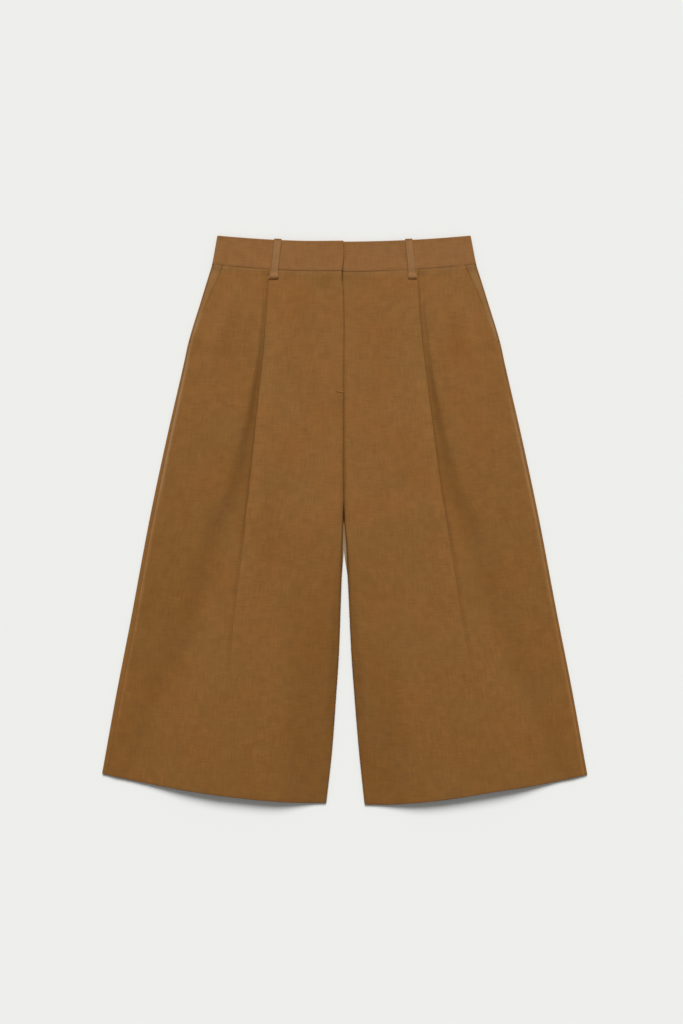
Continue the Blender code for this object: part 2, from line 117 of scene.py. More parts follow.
# Half the width of the piece, the inner edge of each front (at the centre seam, the slit over the crotch,
# then the leg gap), and how far in from the side each side seam lies
OUTLINE = {
    "down": (0, 0.07, 0.1565, 0.19, 0.345, 0.5, 0.7, 0.85, 1),
    "side": (179, 194, 212, 217, 241.5, 264.2, 290, 310.2, 329),
}
LEG_GAP = {
    "down": (0.43, 0.452, 0.467, 0.486, 0.514, 0.542, 0.618, 0.712, 0.806, 0.9, 1),
    "right": (0.15, 0.8, 1.1, 1.3, 1.7, 2.2, 4, 6.4, 10.8, 15.9, 23.9),
    "left": (0.15, 0.8, 1.1, 2, 3.4, 4.4, 6.9, 10, 14.9, 20.6, 28.1),
}
SIDE_ROLL = {
    "down": (0, 0.16, 0.24, 0.34, 0.45, 0.6, 0.72, 1),
    "right": (1.9, 2.2, 3, 4, 4.8, 5.2, 6.4, 7),
    "left": (1.9, 2.2, 2.9, 3, 3, 3, 3, 2.9),
}

# How much further out the left half's side lies than the right one's, and how far each hem hangs below
# an even curve
LEFT_FURTHER = {"y": (-386, -314, -180, -42, 300, 390), "out": (3, 2.4, 2.2, 1.6, 1.4, 0.6)}
HEM_HANGS = {
    "x": (25, 65, 130, 205, 265, 330),
    "right": (0, 1.2, 1.4, 1.4, 1.3, 1.2),
    "left": (2, 4, 3.3, 1.1, 2.7, 2.8),
}

# The slightly wandering edge of the fly's lap. The lap is sewn into the waist this much higher, from
# this y up and to this far from the centre. LAP_ABOVE lies between the front's layers and the back's.
LAP_LINE = {
    "y": (178, 250, 300, 312, 322, 331, 338, 356, 378),
    "edge": (0.4, -0.3, 0.2, 0.6, 1.8, 2.3, 1.6, -0.2, 0.4),
}
LAP_HIGHER = 1.1
LAP_HIGHER_FROM = 290.0
LAP_HIGHER_ENDS = 60.0
LAP_ABOVE = 4.0
LAP_STRAIGHT_FROM = 15.0

# How far the cloth stands up around the crotch, where four seams meet
CROTCH_LIFT = {
    "down": (0, 0.3, 0.42, 0.479, 0.53, 0.62, 0.75, 1),
    "lift": (0, 0.2, 2.2, 3.8, 3.2, 1.2, 0.4, 0),
}

# A row for each place down the leg: where the pleat's edge (and below it the pressed crease) and the
# soft valley outside it lie, how far out from the valley the cloth is up again, how deep the pleat folds
# under, how far and how wide it bends, and the heights of the cloth's middle under the pleat, in the
# valley, on the outer leg and on the inner leg.
FOLD_COLUMNS = (
    "down", "crease_right", "crease_left", "valley", "rise", "pleat", "turn",
    "bend", "under", "dip", "outer", "inner",
)
FOLD_ROWS = (
    (0, 101.5, 100, 104.5, 16, 18, 180, 0.7, 3.55, 3.7, 4.95, 5.6),
    (0.07, 105, 102.3, 106.5, 5, 17, 180, 0.8, 3.2, 3.1, 5.2, 5.3),
    (0.157, 109.5, 108, 111.5, 8, 15, 180, 1, 2.5, 2.3, 5.7, 5.3),
    (0.24, 116, 115.5, 118.5, 10, 12, 180, 1.25, 2.1, 1.95, 6.6, 5.4),
    (0.345, 123.7, 125, 130, 18, 8, 180, 1.45, 2, 1.95, 7.4, 5.4),
    (0.43, 130.3, 133.5, 141, 27, 4, 180, 1.5, 2.2, 2, 7.4, 5.4),
    (0.5, 136.7, 142.5, 162, 30, 1, 110, 1, 3.3, 2.3, 7, 5.6),
    (0.58, 144, 152.3, 176, 34, 0.8, 75, 0.6, 6.1, 2.8, 6.7, 6.2),
    (0.64, 149.5, 158.3, 190, 36, 0.8, 60, 0.5, 7.5, 3, 6.4, 7),
    (0.74, 156, 170.5, 213, 38, 0.8, 40, 0.4, 9.6, 3.2, 6.2, 8.8),
    (0.86, 161, 183, 253, 28, 0.8, 0, 0.4, 11.8, 3.8, 5.6, 11.2),
    (1, 166, 199, 296, 14, 0.8, 0, 0.4, 14, 4.2, 4.5, 13),
)
FOLDS = dict(zip(FOLD_COLUMNS, zip(*FOLD_ROWS)))

# ---- Sizes of the sewn cloth ----
CLOTH = 0.85
# Each turned edge's angle in degrees, the length of its bend and the flat of it past the bend
SEAM_TURN = 75.0
SEAM_BEND = 1.0
SEAM_TAIL = 0.4
INSEAM_TAIL = 0.06
SIDE_SEAM_TURN = 50.0
SIDE_SEAM_BEND = 0.7
FOLD_TURN = 180.0
FOLD_BEND = 1.45
FOLD_TAIL = 9.0
# How much closer the sewn edges lie than the solids' ones, and how soon the cloth is level beside them
SEAM_CLOSES = 0.25
CENTRE_SEAM_SOFT = 6.0
CENTRE_SOFT_LEAST = 6.5
# Outside the pleat: how far past it the cloth shows, how near the valley may come to the crease and to
# the side, how near the side it may be up again, and a point past that as a share of way and height
PLEAT_RUN = 0.5
VALLEY_FROM_CREASE = 2.0
VALLEY_FROM_SIDE = 8.0
RISEN_FROM_SIDE = 3.0
OUTER_PART = 0.4
OUTER_PART_HEIGHT = 0.35
BACK_EASES = 12.0
FACING_UNDER = 0.1
HEM_RADIUS = 0.55
HEM_ALLOWANCE = 38.0
# How far the cloth goes on under the waistband, as a share of its length
UNDER_BAND = 0.0026
# This near the waist seam the layers are drawn to the band's middle, and may stand so far from it
SEWN_FLAT = 10.0
SEWN_STACK = 0.5
SEWN_PROUD = 0.6
FACING_PROUD = 0.45
FACING_PROUD_OUT = 0.35
FACING_PROUD_FROM_MOUTH = (-2.0, 3.0)

# Points across each part of a panel
LIP_STEPS = 7
TAIL_STEPS = 3
LIP_POINTS = LIP_STEPS + TAIL_STEPS
INNER_STEPS = 76
OUTER_STEPS = 60
BEND_STEPS = 9
PLEAT_STEPS = 5
BACK_STEPS = 72
ROLL_STEPS = 10
FACING_STEPS = 16
HEM_STEPS = 6


# ---- Smooth lines ----
def smooth(places, heights, at):
    """Smooth values between a few places, with no overshoot."""
    x = np.array(places, float)
    y = np.array(heights, float)
    width = np.diff(x)
    slope = np.diff(y) / width
    rate = np.hstack((slope[0], np.zeros(len(x) - 2), slope[-1]))
    for i in range(1, len(x) - 1):
        if slope[i - 1] * slope[i] > 0:
            rate[i] = 2 * slope[i - 1] * slope[i] / (slope[i - 1] + slope[i])
    at = np.clip(at, x[0], x[-1])
    i = np.clip(np.searchsorted(x, at, side="right") - 1, 0, len(x) - 2)
    t = (at - x[i]) / width[i]
    start = (1 + 2 * t) * (1 - t) ** 2 * y[i] + t * (1 - t) ** 2 * width[i] * rate[i]
    return start + t * t * (3 - 2 * t) * y[i + 1] + t * t * (t - 1) * width[i] * rate[i + 1]


def through(table, column, at):
    """A smooth value between the rows of a table, whose first column says where they lie."""
    return smooth(next(iter(table.values())), table[column], at)


def ease(low, high, value):
    """0 up to low, 1 from high, with soft ends."""
    t = np.clip((value - low) / (high - low), 0.0, 1.0)
    return t * t * (3 - 2 * t)


def bell(value, middle, width):
    return np.exp(-(((value - middle) / width) ** 2))


def between(low, high, share):
    return low + (high - low) * share


def side_of(down):
    return through(OUTLINE, "side", down)


def inside_of(down, half):
    """Where a front's inner edge lies."""
    return through(LEG_GAP, half, down)


def seam_line(down, half):
    """Where the side seam lies, in from the piece's edge."""
    return side_of(down) - through(SIDE_ROLL, half, down)


def mouth_line(down):
    """Where the slant pocket's edge lies."""
    return MOUTH_TOP + (seam_line(MOUTH_DOWN, "right") - MOUTH_TOP) * np.maximum(down, 0.0) / MOUTH_DOWN


def along(x, down):
    """The y of a point at this x on the curved line that lies this far down the piece."""
    inner = between(WAIST_SEAM_MIDDLE, HEM_INNER, down)
    outer = between(WAIST_SEAM_SIDE, HEM_OUTER, down)
    inside = (inside_of(down, "right") + inside_of(down, "left")) / 2
    across = abs(x - inside) / (side_of(down) - inside)
    straight = HEM_STRAIGHTNESS * max(down, 0.0)
    return inner + (outer - inner) * across * (straight + (1 - straight) * across)


def lap_edge(y):
    return through(LAP_LINE, "edge", y)


def laid(points, half):
    """An even half's points as it really lies.

    The left leg lies a little further out, each hem hangs unevenly, and the lap is sewn in higher.
    """
    x, y, z = np.moveaxis(points, -1, 0)
    hem = ease(HANGS_FROM, HEM_INNER, y) * through(HEM_HANGS, half, x)
    if half == "right":
        higher = LAP_HIGHER * ease(LAP_HIGHER_FROM, WAIST_SEAM_MIDDLE, y) * (z > LAP_ABOVE)
        higher *= 1 - ease(0.0, LAP_HIGHER_ENDS, x)
        return np.stack((x, y - hem + higher, z), axis=-1)
    down = (WAIST_SEAM_MIDDLE - y) / (WAIST_SEAM_MIDDLE - HEM_INNER)
    further = np.clip(x / side_of(down), 0.0, 1.0) * through(LEFT_FURTHER, "out", y)
    return np.stack((x + further, y - hem, z), axis=-1)


def band_top(x):
    return BAND_TOP_MIDDLE + (HALF_LENGTH - BAND_TOP_MIDDLE) * (x / BAND_TOP_SIDE) ** 2


def back_height(x, down):
    """The middle of the back's cloth: flat on the surface, lifted over the loops at the waist."""
    below_seam = along(x, 0.0) - along(x, down)
    return LYING + BACK_LIFT * (1 - ease(*LIFT_ENDS, below_seam))


def side_height(down):
    """The middle of the cloth where the front or the facing meets the side seam."""
    return back_height(side_of(down), down) + LAYER * (1 + ease(*WAIST_UNSTACKS, down))


def front_edge_height(down):
    """The middle of the front's cloth at the centre seam and the inseam."""
    flat = between(LYING + 2 * LAYER, WAIST_UNDERLAP, 1 - ease(*EDGE_SETTLES, down))
    return flat + through(CROTCH_LIFT, "lift", down)


def front_seam_height(down):
    """The middle of the front's cloth at the seam itself, which sinks between the legs' lifted sides."""
    sunk = CENTRE_SEAM_SINKS * ease(*SEAM_SINKS, down) * (1 - ease(*SEAM_RISES, down))
    return front_edge_height(down) - sunk


def lap_rise(down):
    """How far the right front rises over the left one at the fly."""
    return between(LAP_RISE_WAIST, LAP_RISE, ease(*WAIST_UNSTACKS, down)) * (1 - ease(*LAP_SETTLES, down))


def band_height(x, half):
    """The middle of the front waistband."""
    return BAND_FRONT + through(BAND_STANDS[half], "over", x)


def sewn(x, z, down, middle):
    """Heights drawn towards the waistband's middle where the cloth is sewn into it."""
    held = 1 - ease(0.0, SEWN_FLAT, along(x, 0.0) - along(x, down))
    return between(z, middle + np.clip(z - middle, -SEWN_STACK, SEWN_STACK), held)


def bent(start, heading, turn, length, steps):
    """The x and height of points along an even bend from start. Angles are degrees."""
    angles = np.radians(heading + turn * (np.arange(steps) + 0.5) / steps)
    return np.array(start)[:, None] + np.cumsum((np.cos(angles), np.sin(angles)), axis=1) * (length / steps)


def drawn(places, heights, start, steps):
    """The x and height of points along a smooth line, from start to the last of its places."""
    x = np.linspace(start, places[-1], steps)
    return np.array((x, smooth(places, heights, x)))


def lip(edge, z, way, turn=SIDE_SEAM_TURN, bend=SIDE_SEAM_BEND, tail=SEAM_TAIL):
    """An edge of cloth that turns down: way is 1 where it faces outwards, -1 inwards.

    Returns the x where the turn starts, and its points from there to the raw edge.
    """
    quarter = math.radians(max(min(turn, 90.0), 1.0))
    reach = bend * math.sin(quarter) / math.radians(max(turn, 1.0)) + CLOTH / 2 * math.sin(quarter)
    start = edge - way * reach
    heading = 0.0 if way > 0 else 180.0
    turned = bent((start, z), heading, -way * turn, bend, LIP_STEPS)
    return start, np.hstack((turned, bent(turned[:, -1], heading - way * turn, 0.0, tail, TAIL_STEPS)))


def inner_lip(level, other, inside, leg, falls, lapped):
    """The edge at the centre seam or, where leg is 1, at the inseam. A lapped edge is folded under.

    Along the slit, where no back meets it yet, a front's edge falls on to the back below.
    """
    half_way = abs(level - other) / 2
    turn = between(between(SEAM_TURN, 90.0, leg), FOLD_TURN, lapped)
    bend = between(between(SEAM_BEND, half_way * math.pi / 2, leg), FOLD_BEND, lapped)
    tail = between(SEAM_TAIL, INSEAM_TAIL + falls * max(half_way - CLOTH, 0.0), leg)
    return lip(inside, level, -1, turn, bend, tail + (FOLD_TAIL - SEAM_TAIL) * lapped)


# ---- Soft folds in the cloth ----
# Each row: x and y where a fold starts and where it ends, its half width at both, and its height, below 0
# for a trough.
FRONT_RELIEF = {
    "right": (
        (141, 300, 170, 196, 9, 14, -0.8),
        (158, 302, 186, 205, 8, 12, 0.4),
        (21, 333, 23, 308, 7, 9, -0.6),
        (60, 300, 52, 150, 16, 24, -0.35),
        (118, 290, 145, 205, 6, 8, -0.4),
        (95, 90, 104, -140, 13, 16, -0.45),
    ),
    "left": (
        (144, 286, 160, 208, 8, 12, -0.8),
        (162, 300, 182, 215, 9, 12, 0.35),
        (48, 310, 60, 165, 15, 22, -0.35),
    ),
}
BACK_RELIEF = (
    (128, 120, 160, -380, 3, 5, 0.45),
    (30, 40, 190, -70, 9, 16, 0.7),
    (24, 10, 150, -190, 8, 18, 0.9),
    (215, 60, 240, -160, 9, 14, 0.8),
    (60, -200, 90, -360, 14, 20, 0.9),
    (230, -170, 285, -330, 12, 20, 0.8),
    (90, 240, 100, 130, 10, 16, 0.5),
)
RELIEF_STARTS = (-0.1, 0.3)
RELIEF_ENDS = (1.1, 0.7)

# Low ridges beside the pleat's edge, the centre seam and the pocket's edge: the height and width of each,
# how far from that line its middle lies, and where down the piece it starts and ends
RIDGES = {
    "pleat": (0.7, 6, -6, (0.2, 0.4), (0.62, 0.8)),
    "centre": (0.45, 3.4, 6, (0.24, 0.36), (0.47, 0.5)),
    "mouth": (0.45, 8, 0, (-0.02, -0.01), (MOUTH_DOWN - 0.02, MOUTH_DOWN)),
}

# The unevenness of pressed cloth that was laid down: how high its waves are, and a seed for each half
WAVE_COUNT = 7
WAVE_LENGTHS = (45.0, 150.0)
WAVES = {
    "front": {"size": 0.5, "right": 11, "left": 12},
    "back": {"size": 0.3, "right": 21, "left": 22},
    "band": {"size": 0.16, "right": 31, "left": 32},
}

# How far in from a panel's inner and outer edge its folds start, how far down, and how high a back stands
FRONT_CLEAR = (9.0, 9.0)
BACK_CLEAR = (12.0, 14.0)
FRONT_CLEAR_DOWN = 0.02
BACK_CLEAR_DOWN = 0.03
BACK_STANDS = 0.15


def relief(rows, x, y):
    """The height that the folds of a panel add at these points."""
    total = np.zeros_like(x)
    for x0, y0, x1, y1, wide0, wide1, height in rows:
        run_x, run_y = x1 - x0, y1 - y0
        length = math.hypot(run_x, run_y)
        t = ((x - x0) * run_x + (y - y0) * run_y) / length**2
        away = ((x - x0) * run_y - (y - y0) * run_x) / length
        wide = between(wide0, wide1, np.clip(t, 0, 1))
        total += height * bell(away, 0.0, wide) * ease(*RELIEF_STARTS, t) * ease(*RELIEF_ENDS, t)
    return total


def ridge(name, x, line, down):
    height, width, beside, starts, ends = RIDGES[name]
    return height * bell(x, line + beside, width) * ease(*starts, down) * (1 - ease(*ends, down))


def waves(x, y, panel, half):
    """How much a panel's unevenness adds at these points."""
    draw = np.random.default_rng(WAVES[panel][half])
    total = 0.0
    for _ in range(WAVE_COUNT):
        angle = draw.uniform(0, math.pi)
        length = draw.uniform(*WAVE_LENGTHS)
        phase = draw.uniform(0, 2 * math.pi)
        total = total + np.sin((x * math.cos(angle) + y * math.sin(angle)) * 2 * math.pi / length + phase)
    return total / WAVE_COUNT * WAVES[panel]["size"]


def clear_of_edges(x, last, inner, outer):
    """How much of a panel's folds shows across it: none on its turned edges, the outer from last on."""
    share = ease(0.0, inner, x - x[:, [LIP_POINTS]]) * ease(0.0, outer, x[:, [last - 1]] - x)
    share[:, :LIP_POINTS] = 0.0
    share[:, last:] = 0.0
    return share


# ---- Panels ----
FRONT_ROWS = np.hstack((
    [-UNDER_BAND, 0.0, 0.003, 0.007],
    np.linspace(0.012, 0.06, 12),
    np.linspace(0.064, 0.20, 32),
    np.linspace(0.203, 0.26, 16),
    np.linspace(0.265, 0.45, 38),
    np.linspace(0.4535, 0.53, 24),
    np.linspace(0.535, 0.9986, 92),
))
BACK_ROWS = np.append(FRONT_ROWS[::2], FRONT_ROWS[-1])
FACING_ROWS = np.append(-UNDER_BAND, np.linspace(0.0, FACING_DOWN + 0.01, 34))


def gridded(row, downs, half):
    """A panel's points, with a row of them for each place down the piece."""
    return np.array([np.stack(row(down, half), axis=-1) for down in downs])


def pleat_line(fold):
    """The pleat from the top layer's end, round its edge, under it and back out."""
    turn = fold["turn"]
    bend = 3 * fold["bend"]
    edge = bent((0.0, 0.0), 0.0, -turn, bend, BEND_STEPS)
    under = bent(edge[:, -1], -turn, 0.0, fold["pleat"], PLEAT_STEPS)
    return np.hstack((edge, under, bent(under[:, -1], -turn, turn, bend, BEND_STEPS)))


def front_row(down, half):
    """One row of a front, from the centre to the side."""
    fold = {name: through(FOLDS, name, down) for name in FOLD_COLUMNS}
    crease = fold["crease_" + half]
    folded = fold["turn"] / FOLD_TURN
    pleat = pleat_line(fold)
    top_x = crease - pleat[0].max() - CLOTH / 2
    top_z = fold["under"] - pleat[1, -1]
    stack = top_x - (fold["pleat"] + PLEAT_CLEAR) * folded - 2 * LYING * (1 - folded)

    level = front_edge_height(down)
    seam_level = front_seam_height(down)
    leg = ease(*SLIT_OPENS, down)
    lap = 1 - ease(*LAP_ENDS, down)
    inside = inside_of(down, half) - SEAM_CLOSES * (1 - leg)
    if half == "right":
        inside = between(inside, lap_edge(along(0.0, down)), lap)
        rise = lap_rise(down)
        level, seam_level = level + rise, seam_level + rise
    else:
        inside -= FLY_UNDERLAP * lap
        lap = 0.0
    falls = 1 - ease(*SLIT_CLEARS, down)
    start, inner_edge = inner_lip(seam_level, back_height(0.0, down), inside, leg, falls, lap)
    held = FLY_UNDERLAP + CENTRE_SEAM_SOFT if lap > 0 else max(start + CENTRE_SEAM_SOFT, CENTRE_SOFT_LEAST)
    places = (start, held, between(held, stack, 0.5), stack, top_x)
    inner = drawn(places, (seam_level, level, max(level, fold["inner"]), top_z, top_z), start, INNER_STEPS)

    mouth = ease(*MOUTH_FOLDS, down)
    edge = mouth_line(down) if down < MOUTH_DOWN else seam_line(down, half)
    level = side_height(down) + LAYER * (1 - ease(*FACING_ENDS, down))
    turn = between(SIDE_SEAM_TURN, FOLD_TURN, mouth)
    bend = between(SIDE_SEAM_BEND, FOLD_BEND, mouth)
    end, side_edge = lip(edge, level, 1, turn, bend, between(SEAM_TAIL, FOLD_TAIL, mouth))
    pleat_end = top_x + pleat[0, -1]
    begin = max(pleat_end, crease) + PLEAT_RUN
    valley = min(max(fold["valley"], crease + VALLEY_FROM_CREASE), edge - VALLEY_FROM_SIDE)
    risen = min(valley + fold["rise"], end - RISEN_FROM_SIDE)
    part = between(risen, end, OUTER_PART)
    part_height = between(fold["outer"], level, OUTER_PART_HEIGHT)
    places = (pleat_end, begin, valley, risen, part, end)
    heights = (fold["under"], fold["under"], fold["dip"], fold["outer"], part_height, level)
    outer = drawn(places, heights, begin, OUTER_STEPS)
    x, z = np.hstack((inner_edge[:, ::-1], inner, pleat + [[top_x], [top_z]], outer, side_edge))
    return x, along(x, down), sewn(x, z, down, band_height(x, half) + SEWN_PROUD)


def front_grid(half):
    """The points of a front, with its folds added to the layer that shows."""
    grid = gridded(front_row, FRONT_ROWS, half)
    pleat = LIP_POINTS + INNER_STEPS
    outer = pleat + 2 * BEND_STEPS + PLEAT_STEPS
    x, y = grid[..., 0], grid[..., 1]
    down = FRONT_ROWS[:, None]
    rise = relief(FRONT_RELIEF[half], x, y) + waves(x, y, "front", half)
    rise += ridge("pleat", x, through(FOLDS, "crease_" + half, down), down)
    rise *= clear_of_edges(x, outer + OUTER_STEPS, *FRONT_CLEAR)
    rise *= ease(0.0, FRONT_CLEAR_DOWN, down)
    rise[:, pleat:outer] = between(rise[:, [pleat - 1]], rise[:, [outer]], np.linspace(0, 1, outer - pleat))
    rim = ridge("centre", x, 0.0, down) + ridge("mouth", x, mouth_line(down), down)
    rim[:, pleat:outer] = 0.0
    rim[:, :LIP_POINTS] = 0.0
    grid[..., 2] += rise + rim
    return grid


def back_row(down, half):
    """One row of a back, from its inner edge, round the side and onto the front."""
    side = side_of(down)
    low = back_height(side, down)
    radius = (side_height(down) - low) / 2
    # The backs stay together a little further down than the fronts
    parted = ease(*BACKS_PART, down)
    inside = between(inside_of(0.0, half), inside_of(down, half), parted) - SEAM_CLOSES * (1 - parted)
    level = back_height(inside, down)
    turned = ease(*BACKS_TURN, down)
    start, edge = inner_lip(level, front_seam_height(down), inside, turned, 0.0, 0.0)
    edge[1] = 2 * level - edge[1]
    turn_in = side - CLOTH / 2 - radius
    flat_x = np.linspace(start, turn_in, BACK_STEPS)
    flat_z = back_height(flat_x, down)
    flat_z += (low - flat_z[-1]) * ease(turn_in - BACK_EASES, turn_in, flat_x)
    roll = bent((turn_in, low), 0.0, 180.0, radius * math.pi, ROLL_STEPS)
    last_x, last_z = roll[:, -1]
    end, seam = lip(seam_line(down, half), last_z, -1)
    run = [[(last_x + end) / 2, end], [last_z, last_z]]
    x, z = np.hstack((edge[:, ::-1], [flat_x, flat_z], roll, run, seam))
    return x, along(x, down), z


def back_grid(half):
    """The points of a back, whose folds only stand up, because it lies on the surface."""
    grid = gridded(back_row, BACK_ROWS, half)
    x, y = grid[..., 0], grid[..., 1]
    down = BACK_ROWS[:, None]
    rise = relief(BACK_RELIEF, x, y) + BACK_STANDS + waves(x, y, "back", half)
    rise *= clear_of_edges(x, LIP_POINTS + BACK_STEPS, *BACK_CLEAR)
    rise *= ease(0.0, BACK_CLEAR_DOWN, down) * ease(1.0, 1 - BACK_CLEAR_DOWN, down)
    grid[..., 2] += np.maximum(rise, 0.0)
    return grid


def facing_row(down, half):
    """One row of a facing, from under the front to the side seam."""
    level = side_height(down) - FACING_UNDER
    mouth = mouth_line(down)
    end, edge = lip(seam_line(down, half), level, 1)
    under = mouth - FACING_UNDER_MOUTH
    x, z = np.hstack((drawn((under, end), (level, level), under, FACING_STEPS), edge))
    proud = FACING_PROUD + FACING_PROUD_OUT * ease(*FACING_PROUD_FROM_MOUTH, x - mouth)
    return x, along(x, down), sewn(x, z, down, band_height(x, half) + proud)


def unit(vectors):
    return vectors / np.maximum(np.linalg.norm(vectors, axis=-1, keepdims=True), 1e-9)


def run_of(grid, axis):
    """The direction of a grid's lines at each point, even between its two neighbours."""
    step = unit(np.diff(grid, axis=axis))
    first = np.concatenate((step.take([0], axis), step), axis)
    second = np.concatenate((step, step.take([-1], axis)), axis)
    return unit(first + second)


def facing_out(grid):
    """The normal of the cloth at each point of a panel's grid, away from the wearer's leg."""
    return unit(np.cross(run_of(grid, 0), run_of(grid, 1)))


def hemmed(grid, way):
    """A panel with its hem turned up inside the leg: way is 1 for a front, -1 for a back."""
    normal = facing_out(grid) * way * HEM_RADIUS
    fall = run_of(grid, 0)[-1] * HEM_RADIUS
    angle = math.pi * np.arange(1, HEM_STEPS + 1)[:, None, None] / HEM_STEPS
    fold = grid[-1] + fall * np.sin(angle) - normal[-1] * (1 - np.cos(angle))
    from_hem = np.linalg.norm(grid - grid[-1], axis=-1).mean(axis=1)
    first = np.argmax(from_hem <= HEM_ALLOWANCE)
    turned_up = (grid - 2 * normal)[first:-1][::-1]
    return np.concatenate((grid, fold, turned_up))


# ---- Meshes ----
SHARP_ANGLE = 50.0


def lengths(grid, axis):
    """The length of cloth from the first line of a grid to each point."""
    step = np.linalg.norm(np.diff(grid, axis=axis), axis=-1)
    return np.concatenate((np.zeros_like(step.take([0], axis)), np.cumsum(step, axis=axis)), axis)


def uv_of(across, fall):
    return np.stack(np.broadcast_arrays(across, fall), axis=-1).reshape(-1, 2)


def placed(name, mesh):
    """A new object in the scene, at the origin."""
    piece = bpy.data.objects.new(name, mesh)
    bpy.context.scene.collection.objects.link(piece)
    return piece


def made(name, points, faces, uv, painted_shading, material, mirrored):
    """A mesh object in metres, with its cloth's UV map and its painted shade and light."""
    points = np.array(points, float) * MM
    if mirrored:
        points[:, 0] *= -1
        faces = [tuple(reversed(face)) for face in faces]
    mesh = bpy.data.meshes.new(name)
    mesh.from_pydata(points.tolist(), [], faces)
    layer = mesh.uv_layers.new(name="cloth")
    index = np.empty(len(mesh.loops), np.int32)
    mesh.loops.foreach_get("vertex_index", index)
    layer.data.foreach_set("uv", (np.array(uv, float) * MM)[index].ravel())
    attribute = mesh.attributes.new("painted_shading", "FLOAT", "POINT")
    attribute.data.foreach_set("value", np.array(painted_shading, np.float32))
    mesh.shade_smooth()
    mesh.set_sharp_from_angle(angle=math.radians(SHARP_ANGLE))
    mesh.materials.append(material)
    mesh.validate()
    mesh.update()
    return placed(name, mesh)


def shell(name, grid, painted_shadings, half):
    """A panel's cloth: a closed thin shell around its grid, with the painted shade and light of its upper
    and lower face.
    """
    rows, columns = grid.shape[:2]
    normal = facing_out(grid)
    outer = (grid + normal * CLOTH / 2).reshape(-1, 3)
    inner = (grid - normal * CLOTH / 2).reshape(-1, 3)
    across = lengths(grid, 1)
    uv = uv_of(across - across[:, [columns // 2]], -lengths(grid, 0).mean(axis=1)[:, None])
    count = rows * columns
    index = np.arange(count).reshape(rows, columns)
    a, b, c, d = index[:-1, :-1], index[1:, :-1], index[1:, 1:], index[:-1, 1:]
    face = np.stack((a, b, c, d), axis=-1).reshape(-1, 4)
    near = np.concatenate((index[0, :-1], index[:-1, -1], index[-1, :0:-1], index[:0:-1, 0]))
    far = np.roll(near, -1)
    border = np.stack((near, far, far + count, near + count), axis=1)
    faces = np.concatenate((face, face[:, ::-1] + count, border)).tolist()
    points = laid(np.concatenate((outer, inner)), half)
    return made(name, points, faces, np.concatenate((uv, uv)), np.ravel(painted_shadings), body_cloth, half == "right")


def tube(name, rings, uv, painted_shading, mirrored):
    """A closed skin through rings of points, capped at both ends."""
    count, around = rings.shape[:2]
    index = np.arange(count * around).reshape(count, around)
    turned = np.roll(index, -1, axis=1)
    faces = np.stack((index[:-1], turned[:-1], turned[1:], index[1:]), axis=-1).reshape(-1, 4).tolist()
    faces += [index[0][::-1].tolist(), index[-1].tolist()]
    return made(name, rings.reshape(-1, 3), faces, uv, painted_shading, band_cloth, mirrored)


# ---- Waistband ----
# Where the points across the band lie, as a share of its height
BAND_ACROSS = (0.0, 0.008, 0.025, 0.05, 0.1, 0.18, 0.3, 0.45, 0.6, 0.75, 0.86, 0.93, 0.965, 0.99, 1.0)
BAND_HEIGHT = 40.0
BAND_ENDS_BEHIND = 0.2
BAND_BACK_ENDS = BAND_BACK + 0.5
BAND_ROUND = 1.3
BAND_ROUND_LEAST = 0.12
BAND_END_ROUND = 1.2
BAND_END_LEAST = 0.08
# The low ridge beside the waist seam: its height, then where and how wide it is as a share of the band's
BAND_RIDGE = 0.22
BAND_RIDGE_AT = 0.09
BAND_RIDGE_WIDTH = 0.06


def rounded(distance, radius, least):
    """How full an edge is at this distance from it."""
    return np.sqrt(np.clip(1 - (1 - np.clip(distance / radius, 0, 1)) ** 2, least, 1.0))


